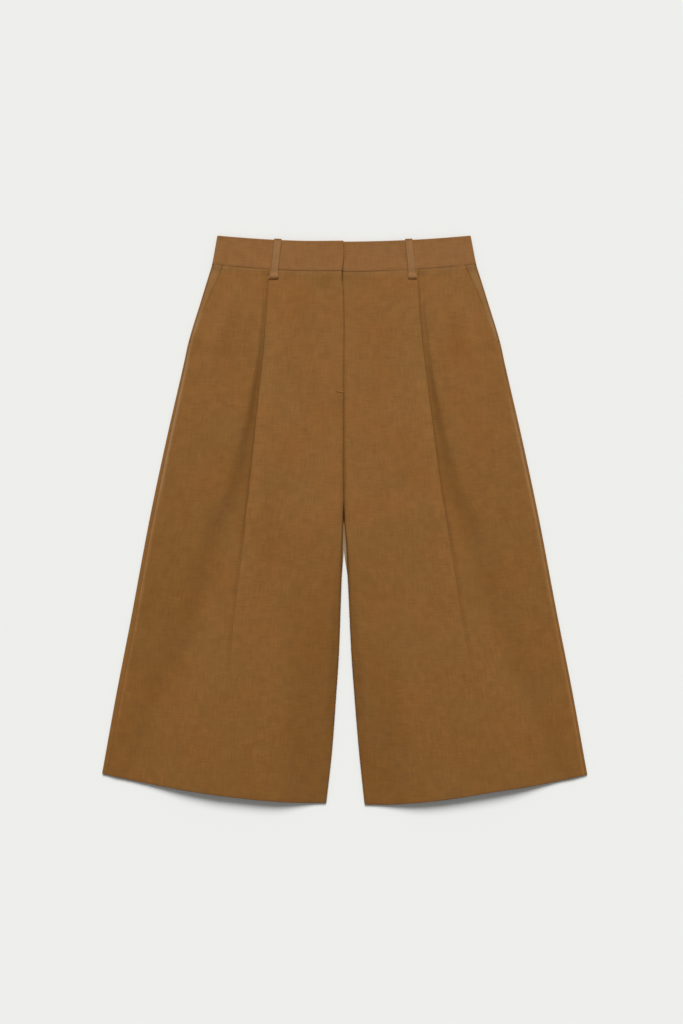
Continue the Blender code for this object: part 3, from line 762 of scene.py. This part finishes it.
def band_rings(half):
    """Rings of points round a waistband half, from centre front to centre back, and their UVs."""
    radius = (BAND_FRONT - BAND_BACK) / 2
    start = 0.0 if half == "right" else -BAND_UNDERLAP
    turn_in = BAND_SEAM_SIDE - radius - BAND_THICK / 2
    front = between(start, turn_in, np.append((0.0, 0.0015, 0.004), np.linspace(0.008, 1.0, 62)))
    roll_x, roll_z = bent((turn_in, BAND_FRONT), 0.0, -180.0, radius * math.pi, ROLL_STEPS)
    back = between(turn_in, BAND_ENDS_BEHIND, np.append(np.linspace(0.02, 0.992, 44), (0.997, 1.0)))
    low = np.hstack((front, np.full(ROLL_STEPS, turn_in), back))[:, None]
    beyond = np.hstack((0 * front, roll_x - turn_in, 0 * back))[:, None]
    z = np.hstack((band_height(front, half), roll_z, np.full(len(back), BAND_BACK)))[:, None]
    flat = np.hstack((low + beyond, z))
    run = run_of(flat, 0)
    length = lengths(flat, 0)[:, None]
    narrow = rounded(np.minimum(length, length[-1] - length), BAND_END_ROUND, BAND_END_LEAST)
    share = np.array(BAND_ACROSS + BAND_ACROSS[-2:0:-1])
    side = np.where(np.arange(len(share)) < len(BAND_ACROSS), 1.0, -1.0)
    edges = rounded(np.minimum(share, 1 - share) * BAND_HEIGHT, BAND_ROUND, 0.0)
    thick = between(BAND_ROUND_LEAST, 1.0, edges)
    # The band narrows towards its top, so a station leans in as it rises
    top = np.where(low > 0, low * (BAND_TOP_SIDE - radius - BAND_THICK / 2) / turn_in, low)
    low_y = along(abs(low), 0.0)
    in_front = z > BAND_BACK_ENDS
    out = BAND_RIDGE * bell(share, BAND_RIDGE_AT, BAND_RIDGE_WIDTH) * (side > 0) * in_front
    out = BAND_THICK / 2 * thick * narrow * side + out + waves(length, share * BAND_HEIGHT, "band", half)
    inset = 1 - narrow
    ys = low_y + inset + (band_top(abs(top)) - low_y - 2 * inset) * share
    xs = between(low, top, share) + beyond - run[:, [1]] * out
    if half == "right":
        xs += lap_edge(ys) * (1 - ease(0.0, LAP_STRAIGHT_FROM, low)) * in_front
    rings = np.stack((xs, ys, z + run[:, [0]] * out), axis=-1)
    return laid(rings, half), uv_of(length, share * BAND_HEIGHT)


# ---- Belt loops ----
LOOP_STATIONS = 46
# How many rows of its line a plain loop has, which ends without a turn, and a turned one
PLAIN_ROWS = 9
TURNED_ROWS = 13
# How far to each side of a loop the slope of the band's top edge is measured
SLOPE_REACH = 5.0
# How far below its top a loop's painted shade starts and is darkest, how dark it is painted there and at
# its foot, how wide that is, and how much lighter the rest is painted, as painted light
LOOP_TURNS = (2.6, 0.6)
LOOP_TOP_PAINTED_SHADE = 0.35
LOOP_FOOT_PAINTED_SHADE = 0.05
LOOP_FOOT_WIDTH = 1.6
LOOP_LIGHT = 0.14


def strip_rings(width, thick):
    """The outline across a folded strip: how far across and how far out each point lies."""
    half = width / 2
    edge = thick / 2
    corner = np.radians([90, 45, 0, -45, -90])
    flat = np.array([-0.5, -0.15, 0.15, 0.5])
    across = np.hstack((half * flat, half - edge + edge * np.cos(corner)))
    out = np.hstack((edge + 0 * flat, edge * np.sin(corner)))
    return np.hstack((across, -across)), np.hstack((out, -out))


def belt_loop(name, top_x, foot_x, foot_level, band_level, outward):
    """A belt loop: a folded strip that lies over the waistband and turns over its top edge.

    Outward is 1 for one in front, -1 for a plainer, pressed one behind, which has no turn.
    """
    rows, extra, slack, pressed = PLAIN_ROWS, 0.0, 0.0, LOOP_PRESSED
    if outward > 0:
        rows, extra, slack, pressed = TURNED_ROWS, FOOT_EXTRA, LOOP_SLACK, 1.0
    lift = SEAM_GAP + LOOP_THICK / 2
    foot_z = foot_level + outward * (lift + extra / 2)
    foot_thick = LOOP_THICK + extra
    band_z = band_level + outward * lift
    foot_y = along(abs(foot_x), 0.0) - LOOP_BELOW_SEAM
    top_y = band_top(abs(top_x)) + lift
    # Each row: share of the way from the foot to the turn, y from there, z, width, thickness
    line = (
        (0, 0, foot_z, 11.8, 0.6 * foot_thick),
        (0, 0.5, foot_z, 12.4, foot_thick),
        (0, 3, foot_z, 11.6, foot_thick),
        (0, 4.2, foot_z, 10.6, 0.5 * (foot_thick + LOOP_THICK)),
        (0, 6.5, foot_level + outward * lift, 10.1, LOOP_THICK),
        (0.28, 0, band_z + slack * 0.7, 10, LOOP_THICK),
        (0.5, 0, band_z + slack, 10, LOOP_THICK),
        (0.72, 0, band_z + slack, 9.9, LOOP_THICK),
        (1, -4, band_z + slack * 0.5, 10, LOOP_THICK),
        (1, -1.3, band_z, 10, 1.2),
        (1, -0.35, band_z - outward * 0.35, 10, 1.15),
        (1, 0, band_z - outward * 1.2, 10, 1.15),
        (1, 0, band_level - outward * BAND_THICK, 9.8, 1.15),
    )
    share, beyond, z, width, thick = np.array(line[:rows]).T
    y = between(foot_y, top_y, share) + beyond
    measure = lengths(np.stack((y, z), axis=1), 0)
    stations = np.unique(np.append(np.linspace(0, measure[-1], LOOP_STATIONS), measure))
    y, z, width, thick = (smooth(measure, knots, stations)[:, None] for knots in (y, z, width, thick))
    across, out = strip_rings(width, thick * pressed)
    run = run_of(np.hstack((y, z)), 0) * outward
    # The band's top edge slopes, and the loop's turn follows it
    beside = [band_top(abs(top_x) + way * SLOPE_REACH) for way in (1, -1)]
    slope = (beside[0] - beside[1]) / (2 * SLOPE_REACH) * np.sign(top_x)
    share = (y - foot_y) / (top_y - foot_y)
    ring_x = between(foot_x, top_x, share) + across
    ring_y = y + across * (slope * np.clip(share, 0.0, 1.0)) - out * run[:, [1]]
    rings = np.stack((ring_x, ring_y, z + out * run[:, [0]]), axis=-1)[:, ::-outward]
    # Painted shade where the strip turns over the band's edge and at its foot, where it is stitched down,
    # and painted light on the rest
    turned = ease(top_y - LOOP_TURNS[0], top_y - LOOP_TURNS[1], y)
    painted_shading = LOOP_TOP_PAINTED_SHADE * turned + LOOP_FOOT_PAINTED_SHADE * bell(y, foot_y, LOOP_FOOT_WIDTH)
    painted_shading = np.repeat(painted_shading - LOOP_LIGHT * (1 - turned), rings.shape[1])
    return tube(name, rings, uv_of(across, stations[:, None]), painted_shading, False)


# ---- Node trees ----
def fed(tree, inputs, values):
    """Links or sets a node's inputs: values are (socket, link or number) pairs."""
    for socket, value in values:
        if isinstance(value, bpy.types.NodeSocket):
            tree.links.new(value, inputs[socket])
        else:
            inputs[socket].default_value = value


def linked(tree, kind, values=(), **settings):
    """The outputs of a new node, with these inputs and settings of its own."""
    node = tree.nodes.new(kind)
    for key, value in settings.items():
        setattr(node, key, value)
    fed(tree, node.inputs, values)
    return node.outputs


def maths(tree, operation, *given):
    return linked(tree, "ShaderNodeMath", enumerate(given), operation=operation)[0]


def scaled(tree, value, by, plus):
    return maths(tree, "MULTIPLY_ADD", value, by, plus)


def vectors(tree, operation, first, second):
    sockets = (0, 3 if operation == "SCALE" else 1)
    return linked(tree, "ShaderNodeVectorMath", zip(sockets, (first, second)), operation=operation)[0]


# ---- Bar tacks ----
STITCH_PITCH = 0.42
STITCH_THICK = 0.46
STITCH_SIDES = 6
STITCH_LEAN = 0.12
STITCH_OVERLAP = 0.12


def stitch_tree(thread):
    """A line of points, with one short stitch across it at each: a dense zigzag, seen as a bar."""
    tree = bpy.data.node_groups.new("bar_tack", "GeometryNodeTree")
    inputs = {"Geometry": "Geometry", "Stitch length": "Float", "Unevenness": "Float", "Seed": "Int"}
    for name, kind in inputs.items():
        tree.interface.new_socket(name, in_out="INPUT", socket_type="NodeSocket" + kind)
    tree.interface.new_socket("Geometry", in_out="OUTPUT", socket_type="NodeSocketGeometry")
    given = tree.nodes.new("NodeGroupInput").outputs
    result = tree.nodes.new("NodeGroupOutput")
    points = linked(tree, "GeometryNodeMeshToPoints", (("Mesh", given["Geometry"]),))[0]
    radius = STITCH_THICK / 2 * MM
    sizes = (("Vertices", STITCH_SIDES), ("Radius", radius), ("Depth", given["Stitch length"]))
    stitch = linked(tree, "GeometryNodeMeshCylinder", sizes, fill_type="TRIANGLE_FAN")[0]
    low = maths(tree, "MULTIPLY", given["Unevenness"], -1.0)
    limits = ((2, low), (3, given["Unevenness"]), (8, given["Seed"]))
    lean = linked(tree, "FunctionNodeRandomValue", limits, data_type="FLOAT")[1]
    turn = linked(tree, "ShaderNodeCombineXYZ", ((0, math.pi / 2), (2, lean)))[0]
    row = (("Points", points), ("Instance", stitch), ("Rotation", turn))
    row = linked(tree, "GeometryNodeInstanceOnPoints", row)[0]
    real = linked(tree, "GeometryNodeRealizeInstances", ((0, row),))[0]
    named = linked(tree, "GeometryNodeSetMaterial", (("Geometry", real), ("Material", thread)))[0]
    tree.links.new(named, result.inputs[0])
    return tree


def bar_tack(name, tree, x, y, z, length, width, lean, rise, seed):
    """Stitches side by side along a line whose middle is at (x, y, z) and whose ends rise."""
    count = max(int(length / STITCH_PITCH), 2)
    share = np.linspace(-0.5, 0.5, count)
    angle = math.radians(lean)
    x = x + share * length * math.cos(angle)
    y = y + share * length * math.sin(angle) + rise * (4 * share**2)
    z = z + STITCH_OVERLAP * (np.arange(count) % 2)
    mesh = bpy.data.meshes.new(name)
    mesh.from_pydata((np.stack((x, y, z), axis=1) * MM).tolist(), [], [])
    piece = placed(name, mesh)
    modifier = piece.modifiers.new("bar_tack", "NODES")
    modifier.node_group = tree
    values = {"Stitch length": width * MM, "Unevenness": STITCH_LEAN, "Seed": seed}
    for item in tree.interface.items_tree:
        if item.name in values and item.in_out == "INPUT":
            modifier[item.identifier] = values[item.name]
    bpy.context.view_layer.update()
    graph = bpy.context.evaluated_depsgraph_get()
    stitched = bpy.data.meshes.new_from_object(piece.evaluated_get(graph))
    piece.modifiers.clear()
    piece.data = stitched
    return piece


# ---- Materials ----
WARM_BROWN = (0.250, 0.1010, 0.0245)
OLIVE_BROWN = (0.212, 0.1030, 0.0305)
# The waistband's dyes are the body's painted a little lighter and greyer: painted light on the band
BAND_WARM = (0.256, 0.109, 0.033)
BAND_OLIVE = (0.226, 0.109, 0.039)
THREAD_BROWN = (0.350, 0.150, 0.038)
THREAD_PALE = (0.375, 0.170, 0.048)
FLOOR_WHITE = (0.80, 0.805, 0.785)
SHEEN_TINT = (1.0, 0.72, 0.45, 1.0)
# Where shade is painted, green and blue fade faster than red, so it looks warmer
SHADE_FADES = (1.0, 1.1, 1.6)
# Where light is painted the cloth turns greyer: the grey that each unit of painted light adds
PAINTED_LIGHT_GREY = (0.100, 0.130, 0.100)
# Threads and slubs for each metre, across and down
THREADS = (1500.0, 1500.0)
WEFT_SLUBS = (55.0, 900.0)
WARP_SLUBS = (1000.0, 40.0)
MOTTLE_SCALE = 15.0
PATCH_SCALE = 90.0
SPUN_SCALE = 1800.0
# How much each pattern of the cloth changes its tone, and how strongly its two dyes part
WEAVE_TONE = 0.04
WEFT_TONE = 0.38
WARP_TONE = 0.36
PATCH_TONE = 0.28
MOTTLE_TONE = 0.08
SPUN_TONE = 0.6
MOTTLE = 1.25
# How high the weave and the slubs stand, against each other and in metres
WEAVE_BUMP = 0.5
SLUB_BUMP = 1.2
BUMP_STRENGTH = 0.35
BUMP_HEIGHT = 0.0002
CLOTH_ROUGHNESS = 0.95
SLUB_SMOOTHS = -0.12
CLOTH_SURFACE = {
    "Specular IOR Level": 0.25,
    "Sheen Weight": 0.06,
    "Sheen Roughness": 0.5,
    "Sheen Tint": SHEEN_TINT,
    "Specular Tint": SHEEN_TINT,
}
THREAD_SURFACE = {"Roughness": 0.8, "Specular IOR Level": 0.3}
PAPER_SURFACE = {"Base Color": (*FLOOR_WHITE, 1), "Roughness": 1, "Specular IOR Level": 0}


def new_material(name, surface):
    """A material whose shader has these values, with its node tree and its shader's inputs."""
    material = bpy.data.materials.new(name)
    material.use_nodes = True
    inputs = material.node_tree.nodes["Principled BSDF"].inputs
    fed(material.node_tree, inputs, surface.items())
    return material, material.node_tree, inputs


def noise(tree, vector, scale, detail):
    values = (("Vector", vector), ("Scale", scale), ("Detail", detail))
    return linked(tree, "ShaderNodeTexNoise", values)[0]


def cloth_material(name, warm, olive):
    """A fine plain-weave wool with slubs along the weft, slightly uneven in colour."""
    material, tree, inputs = new_material(name, CLOTH_SURFACE)
    uv = linked(tree, "ShaderNodeUVMap", uv_map="cloth")[0]
    place = linked(tree, "ShaderNodeTexCoord")["Object"]

    def counted(across, down):
        return linked(tree, "ShaderNodeMapping", ((0, uv), (3, (across, down, 1.0))))[0]

    weft_slub = noise(tree, counted(*WEFT_SLUBS), 1.0, 2.0)
    warp_slub = noise(tree, counted(*WARP_SLUBS), 1.0, 1.0)
    mottle = noise(tree, place, MOTTLE_SCALE, 2.0)
    patch = noise(tree, place, PATCH_SCALE, 2.0)

    # Plain weave: warp and weft waves, each over the other in turn
    split = linked(tree, "ShaderNodeSeparateXYZ", ((0, counted(*THREADS)),))
    warp, weft = (maths(tree, "SINE", maths(tree, "MULTIPLY", split[i], math.pi)) for i in (0, 1))
    weave = maths(tree, "MULTIPLY", warp, weft)

    parted = scaled(tree, mottle, MOTTLE, (1 - MOTTLE) / 2)
    dyes = (("Factor", parted), (6, (*warm, 1.0)), (7, (*olive, 1.0)))
    blend = linked(tree, "ShaderNodeMix", dyes, data_type="RGBA")[2]
    tone = maths(tree, "MULTIPLY", weave, WEAVE_TONE)
    patterns = ((weft_slub, WEFT_TONE), (warp_slub, WARP_TONE), (patch, PATCH_TONE), (mottle, MOTTLE_TONE))
    for pattern, amount in patterns:
        tone = maths(tree, "ADD", tone, scaled(tree, pattern, amount, -amount / 2))
    tone = maths(tree, "ADD", tone, 1.0)
    # Painted shade darkens and reddens the colour; painted light adds grey to it
    painted_shading = linked(tree, "ShaderNodeAttribute", attribute_name="painted_shading")["Fac"]
    left = maths(tree, "SUBTRACT", 1.0, maths(tree, "MAXIMUM", painted_shading, 0.0))
    painted_light = maths(tree, "MAXIMUM", maths(tree, "MULTIPLY", painted_shading, -1.0), 0.0)
    fades = enumerate([maths(tree, "POWER", left, power) for power in SHADE_FADES])
    redder = linked(tree, "ShaderNodeCombineXYZ", fades)[0]
    dyed = vectors(tree, "MULTIPLY", vectors(tree, "SCALE", blend, tone), redder)
    colour = vectors(tree, "ADD", dyed, vectors(tree, "SCALE", PAINTED_LIGHT_GREY, painted_light))

    height = maths(tree, "MULTIPLY", weft_slub, SLUB_BUMP)
    height = maths(tree, "ADD", maths(tree, "MULTIPLY", weave, WEAVE_BUMP), height)
    bump = (("Strength", BUMP_STRENGTH), ("Distance", BUMP_HEIGHT), ("Height", height))
    normal = linked(tree, "ShaderNodeBump", bump)[0]
    roughness = scaled(tree, weft_slub, SLUB_SMOOTHS, CLOTH_ROUGHNESS)
    fed(tree, inputs, (("Base Color", colour), ("Normal", normal), ("Roughness", roughness)))
    return material


def thread_material(name, colour):
    """Spun thread: a little darker and lighter along it."""
    material, tree, inputs = new_material(name, THREAD_SURFACE)
    spun = noise(tree, linked(tree, "ShaderNodeTexCoord")["Object"], SPUN_SCALE, 1.0)
    tone = scaled(tree, spun, SPUN_TONE, 1 - SPUN_TONE / 2)
    fed(tree, inputs, (("Base Color", vectors(tree, "SCALE", colour, tone)),))
    return material


thread_brown = thread_material("thread_brown", THREAD_BROWN)
thread_pale = thread_material("thread_pale", THREAD_PALE)
body_cloth = cloth_material("wool_brown", WARM_BROWN, OLIVE_BROWN)
band_cloth = cloth_material("waistband_brown", BAND_WARM, BAND_OLIVE)

# ---- Painted shade and light ----
# How much darker (the side and the rim: lighter) the colour is painted at each height, as painted shade
# and painted light: down the whole leg, outside the valley, along the inseam, in the wedge outside the
# pleat's edge and so on.
PAINTED_SHADING = {
    "y": (-386, -330, -245, -164, -82, -7, 94, 184, 240, 300, 400),
    "fade": (0.185, 0.172, 0.132, 0.108, 0.09, 0.075, 0.044, 0.02, 0.01, 0, 0),
    "outside_right": (0.03, 0.035, 0.07, 0.1, 0.1, 0.07, 0.06, 0.05, 0.03, 0, 0),
    "outside_left": (0.02, 0.02, 0.04, 0.05, 0.05, 0.05, 0.05, 0.045, 0.02, 0, 0),
    "inseam_right": (0.07, 0.09, 0.11, 0.1, 0.03, 0, 0, 0, 0, 0, 0),
    "inseam_left": (0.06, 0.08, 0.09, 0.04, 0, 0, 0, 0, 0, 0, 0),
    "wedge_right": (0, 0, 0, 0, 0.03, 0.06, 0.17, 0.2, 0.13, 0.03, 0),
    "wedge_left": (0, 0, 0, 0, 0.03, 0.04, 0.13, 0.15, 0.09, 0.03, 0),
    "wedge_width": (60, 60, 60, 60, 50, 40, 19, 11, 6.5, 4, 4),
    "crease": (0, 0, 0.03, 0.1, 0.14, 0.18, 0.1, 0.06, 0.1, 0.08, 0),
    "rim": (0, 0, 0, 0.02, 0.03, 0.03, 0.03, 0.04, 0, 0, 0),
    "centre": (0, 0, 0, 0, 0, 0.12, 0.24, 0.12, 0, 0, 0),
    "gap_edge": (0.05, 0.1, 0.22, 0.28, 0.36, 0.32, 0, 0, 0, 0, 0),
    "gap_trough": (0, 0.02, 0.1, 0.14, 0.05, 0, 0, 0, 0, 0, 0),
    "side_right": (0, 0, 0.25, 0.3, 0.42, 0.45, 0.7, 0.6, 0.35, 0.12, 0),
    "side_left": (0.15, 0.3, 0.4, 0.33, 0.4, 0.47, 0.55, 0.15, 0.15, 0.12, 0),
}
# Painted shade on the backs where they show in the slit: dark at its top, then painted light, greyer,
# towards the gap
WEB_PAINTED_SHADING = {
    "y": (-80, -60, -44, -34, -23, -12, -7, -2, 40),
    "web": (0, -0.9, -1.1, -1, -0.7, -0.45, -0.1, 0.75, 0.85),
}
# Painted light on the fronts' edges beside the slit, where they catch the light
SLIT_LIGHT = {"y": (-60, -20, 0, 30, 50, 80), "light": (0, 0.15, 0.3, 0.3, 0.1, 0)}
# Painted shade along the edge of the fly's lap, deepest where it crosses the waist seam
LAP_PAINTED_SHADE = {
    "y": (178, 250, 300, 322, 331, 345, 358, 370, 378),
    "shade": (0.15, 0.25, 0.2, 0.3, 0.6, 0.55, 0.35, 0.1, 0.1),
}
# Stripes of painted shade or painted light: how far out from its line the middle of each lies, and how wide
# it is
STRIPES = {
    "lap": (0, 1),
    "web": (0, 7),
    "rim": (-9, 9),
    "centre": (0, 2.8),
    "gap_edge": (0, 3.8),
    "gap_trough": (8, 4),
    "crease": (1, 1.6),
    "side": (-1.3, 1.9),
    "slit": (3, 2),
    "mouth": (0.6, 1.9),
}
# The wedge of painted shade starts and ends this far from the crease: in mm, then as shares of its width
WEDGE_STARTS = (-1.0, 1.0)
WEDGE_ENDS = (0.4, 1.3)
# The painted shade outside the valley starts this far from it, as shares of the way to where the cloth is
# up
OUTSIDE_STARTS = (-0.45, 0.6)
# Painted shade in the troughs of the folds, painted light on their ridges, and painted light just below the
# waist seam
RELIEF_SHADE = 0.11
BAND_FOOT_LIGHT = 0.07
BAND_FOOT_ENDS = (2.7, 9.0)
# The painted shade along the inseam fades out between these distances from the centre
INSEAM_PAINTED_SHADE_ENDS = (60.0, 98.0)
# Painted shade on a front's edge where it turns down, from the fly down
TURNED_EDGE_PAINTED_SHADE = 0.55
TURNED_EDGE_FROM = (FLY_DOWN, FLY_DOWN + 0.02)
# Painted shadow on the facing beside the pocket's mouth, and painted light that makes the facing lighter
# and greyer
MOUTH_SHADE = 0.34
MOUTH_SHADE_ENDS = (0.07, 0.12)
FACING_LIGHT = 0.15
FACING_LOW_LIGHT = 0.22
# Painted shade along the waistband's top edge, and how wide it is
BAND_EDGE_PAINTED_SHADE = 0.13
BAND_EDGE_PAINTED_SHADE_WIDTH = 3.4


def stripe(name, x, line):
    out, width = STRIPES[name]
    return bell(x, line + out, width)


def lap_painted_shade(x, y, half):
    """The painted shade along the lap's edge: on the lap itself (right) and on what it lies on (left)."""
    edge = lap_edge(y) if half == "right" else -lap_edge(y)
    return through(LAP_PAINTED_SHADE, "shade", y) * stripe("lap", x, edge) * (y > LAP_PAINTED_SHADE["y"][0])


def front_painted_shading(grid, downs, half):
    """How much darker each point of a front is painted, as painted shade; below 0 it is painted light."""
    x, y = grid[..., 0], grid[..., 1]
    down = downs[:, None]
    crease, valley, rise = (through(FOLDS, name, down) for name in ("crease_" + half, "valley", "rise"))
    edge = inside_of(down, half)
    past = x - crease
    wedge = ease(*WEDGE_STARTS, past) * (1 - ease(*WEDGE_ENDS, past / through(PAINTED_SHADING, "wedge_width", y)))
    darker = {
        "fade": 1.0,
        "outside_" + half: ease(*OUTSIDE_STARTS, (x - valley) / rise),
        "inseam_" + half: 1 - ease(*INSEAM_PAINTED_SHADE_ENDS, x),
        "wedge_" + half: wedge,
        "rim": -stripe("rim", x, crease),
        "centre": stripe("centre", x, 0.0),
        "gap_edge": stripe("gap_edge", x, edge),
        "gap_trough": stripe("gap_trough", x, edge),
        "crease": stripe("crease", x, crease),
        "side_" + half: -stripe("side", x, seam_line(down, half)),
    }
    light = 1 - lap_painted_shade(x, y, half)
    for column, where in darker.items():
        light *= 1 - through(PAINTED_SHADING, column, y) * where
    # Painted shade in the folds' troughs, painted light on their ridges and just below the waistband
    light *= 1 + RELIEF_SHADE * relief(FRONT_RELIEF[half], x, y)
    light *= 1 + BAND_FOOT_LIGHT * (1 - ease(*BAND_FOOT_ENDS, along(x, 0.0) - y))
    # Painted shade on the edge that turns down into the centre seam or the gap, which lies in its own shade
    turned = np.linspace(1.0, 0.0, LIP_POINTS) * ease(*TURNED_EDGE_FROM, down)
    light[:, :LIP_POINTS] *= 1 - TURNED_EDGE_PAINTED_SHADE * turned
    # Painted light beside the slit, kept off the turned edges
    beside = through(SLIT_LIGHT, "light", y) * stripe("slit", x, edge)
    beside[:, :LIP_POINTS] *= 1 - turned
    return 1 - light - beside


def back_painted_shadings(grid):
    """The painted shade and light of a back's upper face, which shows in the slit with its turned edge, and
    of the lower.
    """
    x, y = grid[..., 0], grid[..., 1]
    fade = through(PAINTED_SHADING, "fade", y)
    web = through(WEB_PAINTED_SHADING, "web", y) * stripe("web", x, 0.0) * (y < WEB_PAINTED_SHADING["y"][-1])
    turned = np.arange(grid.shape[1]) < LIP_POINTS
    return fade + web, fade + web * turned


def facing_painted_shading(grid):
    """Painted shadow on the facing beside the pocket's edge; it is painted lighter and greyer overall, most
    towards its narrow lower end.
    """
    down = FACING_ROWS[:, None]
    low = ease(*MOUTH_SHADE_ENDS, down)
    beside = stripe("mouth", grid[..., 0], mouth_line(down))
    return MOUTH_SHADE * (1 - low) * beside - FACING_LIGHT - FACING_LOW_LIGHT * low


def stands_for(piece, kind, which):
    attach(piece, "root")
    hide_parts(kind + "_" + which)


def finish(piece, kind, which):
    """Says which solid a piece of cloth stands for."""
    stands_for(piece, kind, which)


for half in ("right", "left"):
    back_name = "back_cloth_" + half
    grid = hemmed(front_grid(half), 1)
    downs = np.append(FRONT_ROWS, np.ones(len(grid) - len(FRONT_ROWS)))
    painted_shading = front_painted_shading(grid, downs, half)
    finish(shell("front_cloth_" + half, grid, (painted_shading, painted_shading), half), "front", half)
    grid = hemmed(back_grid(half), -1)
    finish(shell(back_name, grid, back_painted_shadings(grid), half), "back", half)
    grid = gridded(facing_row, FACING_ROWS, half)
    painted_shading = facing_painted_shading(grid)
    finish(shell("facing_cloth_" + half, grid, (painted_shading, painted_shading), half), "pocket_facing", half)
    rings, uv = band_rings(half)
    x, y, z = rings.reshape(-1, 3).T
    # Painted shade along the band's top edge, and along the lap's edge on the band's lap
    painted_shading = BAND_EDGE_PAINTED_SHADE * bell(uv[:, 1], BAND_HEIGHT, BAND_EDGE_PAINTED_SHADE_WIDTH)
    painted_shading += lap_painted_shade(x, y, half) * (z > LAP_ABOVE)
    finish(tube("band_" + half, rings, uv, painted_shading, half == "right"), "waistband", half)

for half, sign in (("right", -1), ("left", 1)):
    top, foot = FRONT_LOOPS[half]
    loop = belt_loop("loop_front_" + half, sign * top, sign * foot, PLEAT_FACE, BAND_FACE, 1)
    finish(loop, "belt_loop", "front_" + half)
    top, foot = BACK_LOOPS
    loop = belt_loop("loop_back_" + half, sign * top, sign * foot, BACK_LIFT, BACK_LIFT, -1)
    finish(loop, "belt_loop", "back_" + half)
loop = belt_loop("loop_centre_back", 0.0, 0.0, BACK_LIFT, BACK_LIFT, -1)
finish(loop, "belt_loop", "centre_back")

stitches = {"brown": stitch_tree(thread_brown), "pale": stitch_tree(thread_pale)}
# Each row: name, thread, x, y and height of its middle, length, stitch length, lean, how far its ends
# rise, and which piece it's sewn to
TACKS = (
    ("tack_fly", "pale", -5.4, 173.8, 6.3, 10.4, 1.1, -11, 0, "front", "right"),
    ("tack_loop_right", "brown", -96.2, 328, 8.2, 14, 1.4, 0, 0.5, "belt_loop", "front_right"),
    ("tack_loop_left", "brown", 93.6, 328, 8.2, 11.6, 1.4, 2, 0.2, "belt_loop", "front_left"),
    ("tack_mouth_right", "pale", -163, 341.4, 6.2, 5, 1.5, -60, 0, "front", "right"),
    ("tack_mouth_left", "pale", 164.2, 341.4, 6.2, 5, 1.5, 60, 0, "front", "left"),
)
for i, (name, thread, *sizes, kind, which) in enumerate(TACKS):
    stands_for(bar_tack(name, stitches[thread], *sizes, i), kind, which)

# ---- Studio ----
FLOOR_SIDE = 9.0
KEY_ELEVATION = 45.0
KEY_ANGLE = 32.0
KEY_POWER = 3.45
SKY = 0.29
SKY_WHITE = (1.0, 1.0, 0.985, 1.0)
BACKDROP = (0.86, 0.865, 0.845, 1.0)
CAMERA_AT = (-0.0031, 0.010, 3.293)
LENS = 85.0
SENSOR = 36.0

bpy.ops.mesh.primitive_plane_add(size=FLOOR_SIDE, location=(0, 0, 0))
floor = bpy.context.object
floor.name = "floor"
floor.data.materials.append(new_material("floor_paper", PAPER_SURFACE)[0])

key_light = bpy.data.lights.new("key", "SUN")
key_light.energy = KEY_POWER
key_light.angle = math.radians(KEY_ANGLE)
key = placed("key", key_light)
key.rotation_euler = (-math.radians(90.0 - KEY_ELEVATION), 0.0, 0.0)

world = bpy.data.worlds.new("studio")
bpy.context.scene.world = world
world.use_nodes = True
tree = world.node_tree
sky = tree.nodes["Background"]
sky.inputs[0].default_value = SKY_WHITE
sky.inputs[1].default_value = SKY
seen = linked(tree, "ShaderNodeBackground", ((0, BACKDROP), (1, 1.0)))[0]
ray = linked(tree, "ShaderNodeLightPath")["Is Camera Ray"]
mixed = linked(tree, "ShaderNodeMixShader", enumerate((ray, sky.outputs[0], seen)))[0]
tree.links.new(mixed, tree.nodes["World Output"].inputs[0])

camera_lens = bpy.data.cameras.new("camera")
camera_lens.lens = LENS
camera_lens.sensor_width = SENSOR
camera_lens.sensor_fit = "VERTICAL"
camera_lens.sensor_height = SENSOR
camera = placed("camera", camera_lens)
camera.location = CAMERA_AT
bpy.context.scene.camera = camera
bpy.context.scene.view_settings.view_transform = "Standard"
